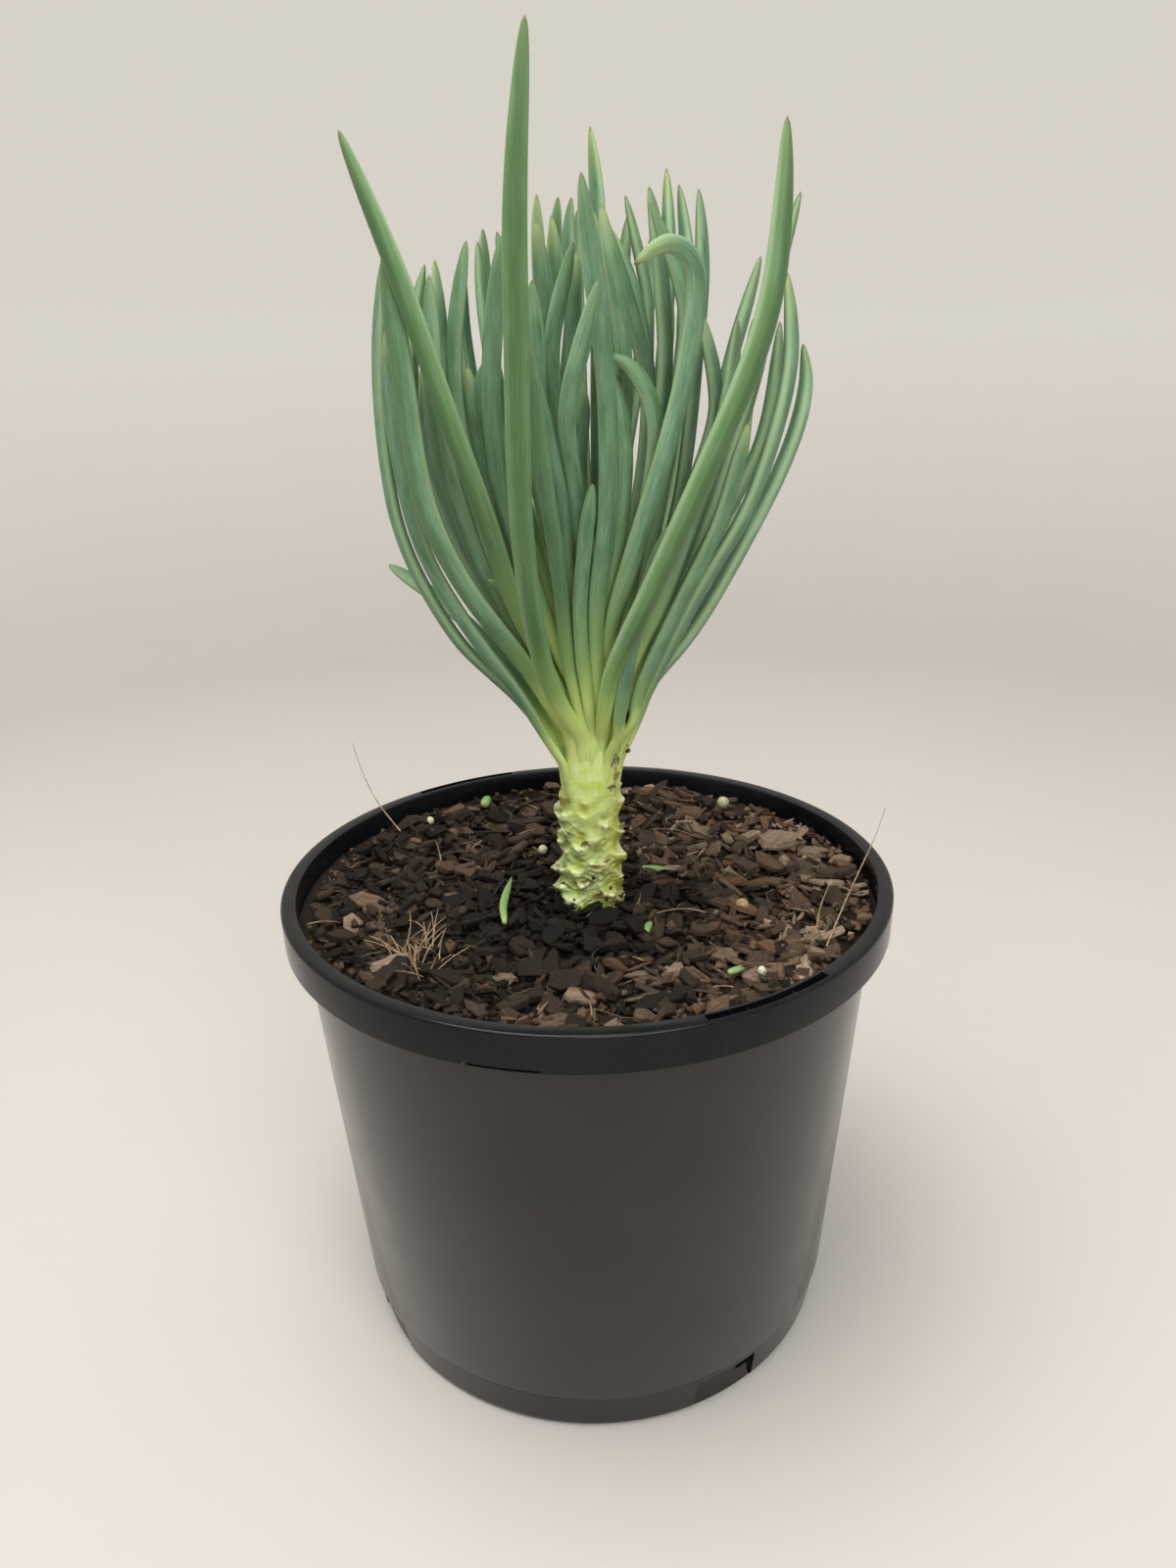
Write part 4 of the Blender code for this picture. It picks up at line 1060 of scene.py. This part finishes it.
def make_stem():
    """The stem's skin: smooth and streaked above, and crusted with the old leaf bases below."""
    heights = np.linspace(MIX_HEIGHT - 8, STEM_TOP, STEM_ROWS)[:, None]
    azimuths = np.linspace(-180, 180, STEM_SIDES, endpoint=False)[None, :]
    turns = np.radians(azimuths)
    low = crust_share(azimuths, heights)
    relief, attributes = stem_marks(azimuths, heights)
    coarse = stem_noise(turns, heights, 4.4, 2.3, 0.0)
    torn_skin = 0.45 - np.abs(coarse) * 2.2 + 0.5 * stem_noise(turns, heights, 10, 1.0, 9.0)
    smooth = stem_noise(turns, heights, 2.0, 16.0, 3.0)
    crusted = low * (1 - 0.55 * ease(heights, MIX_HEIGHT + 6, MIX_HEIGHT + 24))
    strip = bell(azimuths - 58, 9) * ease(heights, STEM_SHOULDER - 26, STEM_SHOULDER - 8)
    radius = stem_radius(heights) - 0.5 - 0.2 * low + relief
    radius += 0.9 * smooth + torn_skin * (0.03 + 0.60 * crusted) - 0.6 * strip
    attributes["low"] = low
    attributes["torn"] = np.maximum(attributes["torn"], strip)
    # Painted shade down the stem's left side, in bands up it.
    attributes["green"] = bell(azimuths + 76, 18) * (0.4 + 0.6 * np.sin(heights / 3.1) ** 2)
    attributes["yellow"] = bell(azimuths - 62, 30) * low
    attributes["dirt"] = 0.8 * (1 - ease(heights + 3 * smooth, MIX_HEIGHT - 2, MIX_HEIGHT + 5))
    attributes = {key: values.reshape(-1) for key, values in attributes.items()}
    x = stem_centre(heights) + radius * np.sin(turns)
    points = np.stack((x, -radius * np.cos(turns), heights + 0 * turns), axis=2).reshape(-1, 3)
    faces = ring_faces(STEM_ROWS, STEM_SIDES)
    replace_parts(add_piece("fine_stem", points, faces, stem_material(), attributes), "stem")


def make_stem_debris():
    rng = np.random.default_rng(22)
    make_stem_crumbs(rng)
    make_stem_flakes(rng)


def make_stem_crumbs(rng):
    """Crumbs of soil stuck to the stem, at its foot and under the leaves."""
    heap = Heap()
    for _ in range(64):
        lower = rng.random() < 0.7
        height = MIX_HEIGHT + (rng.exponential(2.5) if lower else rng.uniform(52, 66))
        azimuth = rng.uniform(-180, 180) if lower else rng.uniform(72, 100)
        reach = stem_radius(height) + rng.uniform(0.2, 0.9) + (0.0 if lower else 1.4)
        size = rng.uniform(0.5, 1.3)
        points, faces = chip(rng, 2 * size, 1.5 * size, size)
        centre = place(azimuth, reach, height) + (stem_centre(height), 0, 0)
        placed = tumbled(points, rng, centre, 180)
        heap.add(placed, faces, tint=rng.uniform(0.3, 0.7), wet=0.25, grain=points)
    heap.piece("stem_crumbs", bark_material("stem_crumbs"), "potting_mix", 30.0)


def make_stem_flakes(rng):
    """Dry papery flakes of skin, most of them low on the stem."""
    heap = Heap()
    for number in range(26):
        lower = number < 20
        height = MIX_HEIGHT + (rng.uniform(2, 26) if lower else rng.uniform(38, 60))
        azimuth = rng.uniform(-180, 180) if lower else rng.uniform(30, 75)
        wide, tall = rng.uniform(2.2, 5.0), rng.uniform(1.6, 3.6)
        grid = []
        for up in np.linspace(0, 1, 6):
            for across in np.linspace(-0.5, 0.5, 6):
                out = stem_radius(height) - 0.4 + 1.3 * up**1.5 + 0.35 * math.sin(7 * across + number)
                turn = azimuth + math.degrees(across * wide * (1 - 0.5 * up * up) / out)
                ragged = rng.uniform(-0.25, 0.25) if up == 1 else 0.0
                grid.append(place(turn, out, height + (up + ragged) * tall * (1 - 0.8 * across**2)))
        outer = np.array(grid) + (stem_centre(height), 0, 0)
        inner = outer - (outer * (1, 1, 0)) / np.linalg.norm(outer[:, :2], axis=1)[:, None] * 0.16
        heap.add(np.vstack((outer, inner)), sheet_faces(6, 6), green=rng.random())
    heap.piece("stem_flakes", flake_material(), "stem_skin", 50.0)


# ---------------------------------------------------------------- potting mix and what lies on it


def mix_surface(x, y):
    """Height of the potting mix: rough, a little lower round the stem and higher at the wall."""
    reach = math.hypot(x, y)
    rise = MIX_RISE * min(1.0, max(0.0, (reach / LEDGE_RADIUS - 0.5) / 0.45)) ** 2
    bump = bumps(x, y, 14, 2.0) + 0.5 * bumps(x, y, 6, 7.0)
    fade = min(1.0, (LEDGE_RADIUS - reach) / 12)
    return MIX_HEIGHT - MIX_DIP * bell(reach, 30) + rise + MIX_BUMP * bump * fade


def wetness(x, y):
    """1 in the dark wet patch in front of and round the stem, 0 far from it."""
    patch = bell(x + 8, 36) * bell(y + 20, 42)
    right = bell(x - 30, 16) * bell(y + 6, 16)
    collar = bell(math.hypot(x, y) - 14, 14)
    ragged = 0.4 * bumps(x, y, 13, 30.0) + 0.2 * bumps(x, y, 4, 3.0)
    return float(np.clip(max(1.25 * patch, collar, 0.9 * right) + ragged, 0, 1))


def make_mix():
    """The mix as one solid: its rough top, and plain sides that follow the pot's inside."""
    sides, rows, gap = 200, 64, 0.35
    turns = full_circle(sides)
    points = []
    for reach in np.linspace(8.0, LEDGE_RADIUS - gap, rows):
        for turn in turns:
            x, y = reach * math.cos(turn), reach * math.sin(turn)
            points.append((x, y, mix_surface(x, y) + 0.7 * bumps(x, y, 2.2, 50.0) - 0.5))
    wall = (
        (LEDGE_RADIUS - gap, LEDGE_HEIGHT + 1),
        (body_radius(LEDGE_HEIGHT) - WALL - gap, LEDGE_HEIGHT),
        (FOOT_RADIUS - WALL - gap, FLOOR_HEIGHT + 4),
        (FOOT_RADIUS - WALL - 2.3, FLOOR_HEIGHT + 2),
    )
    for reach, height in wall:
        points += [(reach * math.cos(turn), reach * math.sin(turn), height) for turn in turns]
    faces = ring_faces(rows + len(wall), sides)
    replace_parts(add_piece("fine_mix", points, faces, soil_material()), "potting_mix")


def chip(rng, length, width, height):
    """An irregular flake of bark about the origin, with flat faces and straight broken sides."""
    corners = int(rng.integers(4, 8))
    turns = 2 * math.pi * (np.arange(corners) + rng.uniform(-0.36, 0.36, corners)) / corners
    reach = rng.uniform(0.70, 1.0, corners)
    outline = np.column_stack((reach * np.cos(turns) * length / 2, reach * np.sin(turns) * width / 2))
    slant = 1 + outline @ rng.uniform(-0.12, 0.12, 2) / max(width, 1.0)
    rings = []
    for level, shrink in ((-0.5, 0.88), (-0.30, 1.0), (0.34, 0.98), (0.5, 0.90)):
        lift = level * height * slant + rng.uniform(-0.03, 0.03, corners) * height
        rings.append(np.column_stack((outline * shrink, lift)))
    points = np.vstack(rings)
    points[:, 2] += rng.uniform(-0.010, 0.016) * points[:, 0] ** 2 * 3 / max(length, 3)
    return points, ring_faces(4, corners)


def tumbled(points, rng, centre, tilt):
    """The points turned at random about +Z, tilted by up to tilt degrees, and moved to the centre."""
    turn = Matrix.Rotation(rng.uniform(0, 2 * math.pi), 3, "Z")
    for axis in "XY":
        turn = turn @ Matrix.Rotation(math.radians(rng.normal(0, tilt / 2)), 3, axis)
    return points @ np.array(turn).T + centre


def spread_over_mix(rng, margin):
    """A random place on the mix, clear of the stem and of the pot's wall."""
    while True:
        x, y = rng.uniform(-1, 1, 2) * (LEDGE_RADIUS - margin)
        if STEM_DIAMETER / 2 + 1.0 < math.hypot(x - STEM_FOOT_X, y) < LEDGE_RADIUS - margin:
            return x, y


def make_chips():
    """The loose bark: small flakes, many middling ones and some large, darker where the mix is wet."""
    rng = np.random.default_rng(11)
    heap = Heap()
    # How many, the least and greatest length, how high they lie, and their width over their length
    kinds = (
        (1200, 2.2, 5.0, 0.0, (0.42, 0.85)),
        (1400, 5.0, 9.0, 0.6, (0.42, 0.85)),
        (420, 9.0, 14.5, 1.4, (0.40, 0.75)),
        (60, 13.0, 19.0, 2.0, (0.38, 0.60)),
        (420, 6.0, 14.0, 1.9, (0.14, 0.28)),
    )
    for count, shortest, longest, lift, widths in kinds:
        for _ in range(count):
            length = rng.uniform(shortest, longest)
            width = length * rng.uniform(*widths)
            height = min(2.4, max(0.6, width * rng.uniform(0.12, 0.34)))
            points, faces = chip(rng, length, width, height)
            x, y = spread_over_mix(rng, 1.2 + length * 0.42)
            level = mix_surface(x, y) + lift + 2.2 * bumps(x, y, 9, 70.0) + rng.uniform(-1.0, 1.6)
            wet = wetness(x, y)
            tint = float(np.clip(rng.normal(0.45 + 0.0036 * x, 0.28), 0, 1)) * (1 - 0.30 * wet)
            tilt = 95 if rng.random() < 0.16 and length < 9 else 38
            placed = tumbled(points, rng, (x, y, level), tilt)
            heap.add(placed, faces, tint=tint, wet=wet, grain=points + rng.uniform(0, 90, 3))
    heap.piece("bark_chips", bark_material("bark_chips"), "bark", 30.0)


def make_crumbs():
    """Fine crumbs between the chips."""
    rng = np.random.default_rng(12)
    heap = Heap()
    corners = np.array([(1, 1, 1), (-1, -1, 1), (-1, 1, -1), (1, -1, -1), (0, 0, 1.6), (0.2, -1.3, 0)])
    faces = [(0, 2, 4), (2, 1, 4), (1, 5, 4), (5, 3, 4), (3, 0, 4), (0, 3, 2), (2, 3, 5), (2, 5, 1)]
    for _ in range(3200):
        x, y = spread_over_mix(rng, 1.0)
        size = rng.uniform(0.35, 0.95)
        points = corners * rng.uniform(0.6, 1.2, (6, 3)) * size
        wet = wetness(x, y)
        placed = tumbled(points, rng, (x, y, mix_surface(x, y) + rng.uniform(-0.2, 1.1)), 180)
        tint = rng.uniform(0.05, 0.85) * (1 - 0.4 * wet)
        heap.add(placed, faces, tint=tint, wet=wet, grain=points + x)
    heap.piece("mix_crumbs", bark_material("mix_crumbs"), "potting_mix", 20.0)


def on_mix(azimuth, reach, lift=0.0):
    spot = place(azimuth, reach, 0.0)
    spot[2] = mix_surface(spot[0], spot[1]) + lift
    return spot


def fibre(rng, start, length, droop, wiggle):
    """A thin bent centreline that starts at a point and wanders over the mix."""
    steps = 14
    heading = rng.uniform(0, 2 * math.pi)
    rise = rng.uniform(0.05, 0.5)
    line = [np.array(start, float)]
    for _ in range(steps):
        heading += rng.normal(0, wiggle)
        here = line[-1] + length / steps * np.array((math.cos(heading), math.sin(heading), rise))
        rise -= droop / steps
        if math.hypot(here[0], here[1]) > LEDGE_RADIUS - 2:
            break
        here[2] = max(here[2], mix_surface(here[0], here[1]) + 0.9)
        line.append(here)
    return np.array(line)


def make_fibres():
    """Pale root threads and straws scattered over the mix."""
    rng = np.random.default_rng(13)
    # How many, margin to the wall, lift over the mix, lengths, droop, wiggle, radii and sides
    kinds = {
        "root_threads": (70, 6, 1.8, (6, 20), 1.1, 0.22, (0.06, 0.14), 5),
        "straws": (34, 9, 2.2, (6, 17), 0.7, 0.04, (0.13, 0.30), 6),
    }
    materials = {
        "root_threads": straw_material("root_threads", (0.30, 0.22, 0.14), (0.14, 0.09, 0.05)),
        "straws": straw_material("straws", (0.32, 0.24, 0.15), (0.12, 0.07, 0.04)),
    }
    for name, (count, margin, lift, lengths, droop, wiggle, radii, sides) in kinds.items():
        heap = Heap()
        for _ in range(count):
            x, y = spread_over_mix(rng, margin)
            line = fibre(rng, (x, y, mix_surface(x, y) + lift), rng.uniform(*lengths), droop, wiggle)
            if len(line) > 4:
                radius = rng.uniform(*radii)
                heap.add_tube(line, radius, radius, sides)
        heap.piece(name, materials[name], "potting_mix")


def make_dry_grass():
    """A tuft of dry grass at the front left, and the long hairs that lean over the rim."""
    rng = np.random.default_rng(14)
    heap = Heap()
    tuft = on_mix(-46, 70)
    for _ in range(46):
        root = tuft + (rng.normal(0, 4), rng.normal(0, 6), 0.5)
        lean = np.array((rng.normal(0.0, 0.28), rng.normal(0.1, 0.35), rng.uniform(0.6, 1.1)))
        length = rng.uniform(8, 20)
        bow = np.array((rng.normal(0, 0.2), rng.normal(0, 0.2), -0.25))
        line = [root + lean * length * t + bow * length * t * t for t in np.linspace(0, 1, 9)]
        heap.add_tube(line, 0.26, 0.09, 5)
    hairs = (
        (on_mix(-124, 82, 1.0), (-79, 55, 161), (-86, 64, 171), (-90, 70, 181)),
        (on_mix(51, 87, 1.0), (82, -26, 158), (95, -4, 167), (101, 6, 174)),
        (on_mix(60, 80, 1.5), (74, -24, 153), (80, -12, 157)),
    )
    for stops in hairs:
        heap.add_tube(smooth_path(stops, 24), 0.30, 0.12, 6)
    material = straw_material("dry_grass", (0.46, 0.35, 0.22), (0.26, 0.16, 0.09))
    heap.piece("dry_grass", material, "potting_mix")


def plate_outline(rng, length, width):
    """A ragged polygon about the origin, in PLATE_POINTS points."""
    sides = PLATE_SIDES
    turns = 2 * math.pi * (np.arange(sides) + rng.uniform(-0.42, 0.42, sides)) / sides
    corners = np.column_stack((np.cos(turns) * length / 2, np.sin(turns) * width / 2))
    corners *= rng.uniform(0.68, 1.0, (sides, 1))
    outline = []
    for first, second in zip(corners, np.roll(corners, -1, axis=0)):
        for share in np.linspace(0, 1, PLATE_POINTS // sides, endpoint=False):
            outline.append(first + (second - first) * share)
    return np.array(outline) * (1 + rng.uniform(-0.045, 0.045, (PLATE_POINTS, 1)))


def plate_points(rng, size, turn):
    """A layered plate of bark about the origin, before its turn."""
    outline = plate_outline(rng, max(size[:2]) * 1.06, min(size[:2]) * 1.02)
    rings = []
    for level, shrink in PLATE_LAYERS:
        uneven = [0.14 * noise.noise(Vector((*(spot / 4), 9 * shrink + turn))) for spot in outline]
        ragged = 1 + rng.uniform(-0.02, 0.02, (PLATE_POINTS, 1))
        rings.append(np.column_stack((outline * shrink * ragged, size[2] * (level + np.array(uneven)))))
    return np.vstack(rings)


def node_middle(node):
    low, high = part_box(node)
    return np.array((low + high) / 2) / MM, np.array(high - low) / MM


def make_bark_plates():
    """The large loose pieces of bark, layered at their edges: three in place of their CAD solids."""
    rng = np.random.default_rng(15)
    material = bark_material("bark_plates")
    plates = (
        ("bark_plate_large", *node_middle("bark_plate_large"), 20.0, 0.94),
        ("bark_plate_small", *node_middle("bark_plate_small"), -35.0, 0.66),
        ("bark_chip_front", *node_middle("bark_chip_front"), 55.0, 0.92),
        ("bark_plate_left", on_mix(-48, 77, 3.0), (15.0, 10.0, 2.6), 35.0, 0.93),
        ("bark_plate_right", on_mix(104, 84, 2.6), (13.0, 10.0, 2.2), -10.0, 0.90),
        ("bark_plate_back", on_mix(163, 86, 2.8), (9.0, 7.0, 2.4), 15.0, 0.80),
    )
    for node, centre, size, turn, tint in plates:
        points = plate_points(rng, size, turn)
        spin = np.array(Matrix.Rotation(math.radians(turn), 3, "Z"))
        attributes = {"tint": tint, "wet": 0.0, "grain": points}
        faces = ring_faces(len(PLATE_LAYERS), PLATE_POINTS)
        points = points @ spin.T + centre
        replace_node(add_piece(f"fine_{node}", points, faces, material, attributes, 35.0), node)


def make_fallen_leaves():
    """Shed leaf pieces on the mix: two in place of their CAD solids, and a few more bits."""
    material = leaf_material("fallen_leaf_skin", (0.330, 0.330, 0.100))
    rng = np.random.default_rng(16)
    bits = []
    for node, turn in (("fallen_leaf_front", 88.0), ("fallen_leaf_side", -25.0)):
        centre, size = node_middle(node)
        bits.append((node, centre, max(size[:2]) * 0.98, size[2] * 0.72, turn))
    bits.append(("leaf_bit_front", on_mix(34, 34, 2.4), 7.0, 3.0, 70.0))
    bits.append(("leaf_bit_back", on_mix(-152, 84, 2.6), 7.0, 4.0, 80.0))
    bits.append(("leaf_bit_right", on_mix(36, 73, 2.6), 6.0, 2.2, 20.0))
    rings, sides = 30, 14
    shares, turns = np.linspace(0, 1, rings), full_circle(sides)
    for name, centre, length, thickness, turn in bits:
        half = place(turn + 90, length / 2, 0.0)
        bow = np.array((-half[1], half[0], 0.0)) * 0.12
        line = smooth_path([centre - half, centre + bow, centre + half + (0, 0, 0.12 * length)], rings)
        belly = np.sin(math.pi * np.clip(0.10 + 0.90 * shares, 0, 1))
        radii = thickness / 2 * np.maximum(0.05, belly) ** 0.6 * (1 + 0.06 * np.sin(9 * shares + length))
        points = tube(line, radii, sides)
        attributes = {
            "along": np.repeat(0.25 + 0.7 * shares, sides),
            "rise": np.repeat(0.22 + 0.20 * shares, sides),
            "face": np.tile(np.abs(np.sin(turns)), rings),
            "edge": np.tile(np.cos(turns) ** 8, rings),
            "pale": 1.0,
            "tone": rng.uniform(0.2, 0.7),
            "gold": rng.uniform(0.85, 1.0),
            "skin": np.column_stack((points[:, :2] / 3, points[:, 2] / 6)),
        }
        faces = ring_faces(rings, sides)
        replace_node(add_piece(f"fine_{name}", points, faces, material, attributes), name)


def make_beads():
    """Coated fertiliser beads, two in place of their CAD solids."""
    rng = np.random.default_rng(17)
    heap = Heap()
    rows, sides = 13, 20
    levels = np.linspace(-math.pi / 2 + 0.08, math.pi / 2 - 0.08, rows)
    beads = []
    for node, tint in (("fertiliser_bead_back", 0.55), ("fertiliser_bead_side", 0.1)):
        centre, size = node_middle(node)
        beads.append((centre + (0, 0, 1.2), size[2] / 2, tint))
    loose = ((-153, 35, 1.7, 0.95), (-133, 82, 1.6, 0.85), (38, 80, 1.3, 0.9))
    for azimuth, reach, radius, tint in loose:
        beads.append((on_mix(azimuth, reach, 2.4 + radius), radius, tint))
    for centre, radius, tint in beads:
        line = [centre + (0, 0, radius * math.sin(level)) for level in levels]
        points = tube(line, radius * np.cos(levels), sides)
        points = centre + (points - centre) * (1 + 0.05 * rng.uniform(-1, 1, (1, 3)))
        heap.add(points, ring_faces(rows, sides), tint=tint)
    piece = heap.piece("fine_beads", bead_material(), "bead")
    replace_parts(piece, "fertiliser_bead_back", "fertiliser_bead_side")


# ---------------------------------------------------------------- stage, light and camera


def add_area_light(name, spot, target, size, power, colour=(1.0, 1.0, 1.0)):
    light = bpy.data.lights.new(name, "AREA")
    light.shape = "DISK"
    light.size = size * MM
    light.energy = power
    light.color = colour
    lamp = add_object(name, light)
    lamp.location = Vector(spot) * MM
    lamp.rotation_euler = (Vector(target) - Vector(spot)).to_track_quat("-Z", "Y").to_euler()


def stage_material():
    """Pale paint, cooler on the wall than on the floor, and lighter there as painted light for a
    brighter wall.
    """
    shader = Shader("stage", Roughness=0.75, Specular_IOR_Level=0.2)
    where = shader.place()
    height = shader.node("ShaderNodeSeparateXYZ", {0: where}, "Z")
    cloud = shader.noise(where, 0.006, 3.0)
    shader.colour = shader.mix(cloud, (0.565, 0.538, 0.502), (0.595, 0.568, 0.532))
    level = shader.math("DIVIDE", height, STAGE_HEIGHT)
    # Painted light: the wall is made paler than the floor to stand in for the light it gets.
    shader.paint(level, (0.715, 0.700, 0.665), (0.02, 0.0), (0.22, 1.0))
    return shader.finish()


def make_stage():
    """A floor that curves up into a round wall, so that it is plain from every side."""
    outline = [(0.0, 0.0), (STAGE_RADIUS - STAGE_BEND, 0.0)]
    for turn in np.linspace(0, math.pi / 2, 14)[1:]:
        out, up = STAGE_BEND * math.sin(turn), STAGE_BEND * (1 - math.cos(turn))
        outline.append((STAGE_RADIUS - STAGE_BEND + out, up))
    outline += [(STAGE_RADIUS, STAGE_HEIGHT), (0.0, STAGE_HEIGHT)]
    points, faces = turned(outline, STAGE_SIDES)
    top = len(points) - 1
    mesh = new_mesh("stage", points[:top], [face for face in faces if top not in face])
    mesh.shade_smooth()
    mesh.materials.append(stage_material())
    add_object("stage", mesh)


def make_light():
    world = bpy.data.worlds.new("studio")
    world.use_nodes = True
    backdrop = world.node_tree.nodes["Background"]
    backdrop.inputs["Color"].default_value = (1.0, 0.985, 0.96, 1.0)
    backdrop.inputs["Strength"].default_value = 0.74
    bpy.context.scene.world = world
    add_area_light("top_light", (-260, -140, 1280), (0, 0, 150), 850, 10.8, (1.0, 0.985, 0.96))
    add_area_light("front_light", (300, -900, 1000), (0, 0, 180), 800, 7.5)


def make_camera():
    camera_data = bpy.data.cameras.new("camera")
    camera_data.lens = CAMERA_LENS
    camera_data.sensor_width = 36.0
    camera = add_object("camera", camera_data)
    rise, roll = math.radians(CAMERA_ELEVATION), math.radians(CAMERA_ROLL)
    back = Vector((0, -math.cos(rise), math.sin(rise)))
    camera.rotation_mode = "QUATERNION"
    rolled = Matrix.Rotation(roll, 3, "Z").to_quaternion()
    camera.rotation_quaternion = back.to_track_quat("Z", "Y") @ rolled
    camera.location = (Vector(CAMERA_TARGET) + back * CAMERA_DISTANCE) * MM
    camera_data.clip_start = 0.01
    bpy.context.scene.camera = camera


def main():
    make_camera()
    make_light()
    make_stage()
    make_pot()
    make_stem()
    make_stem_debris()
    make_leaves()
    make_mix()
    make_chips()
    make_crumbs()
    make_fibres()
    make_dry_grass()
    make_bark_plates()
    make_fallen_leaves()
    make_beads()
    bpy.context.view_layer.update()


bpy.context.scene.view_settings.view_transform = "Standard"
main()
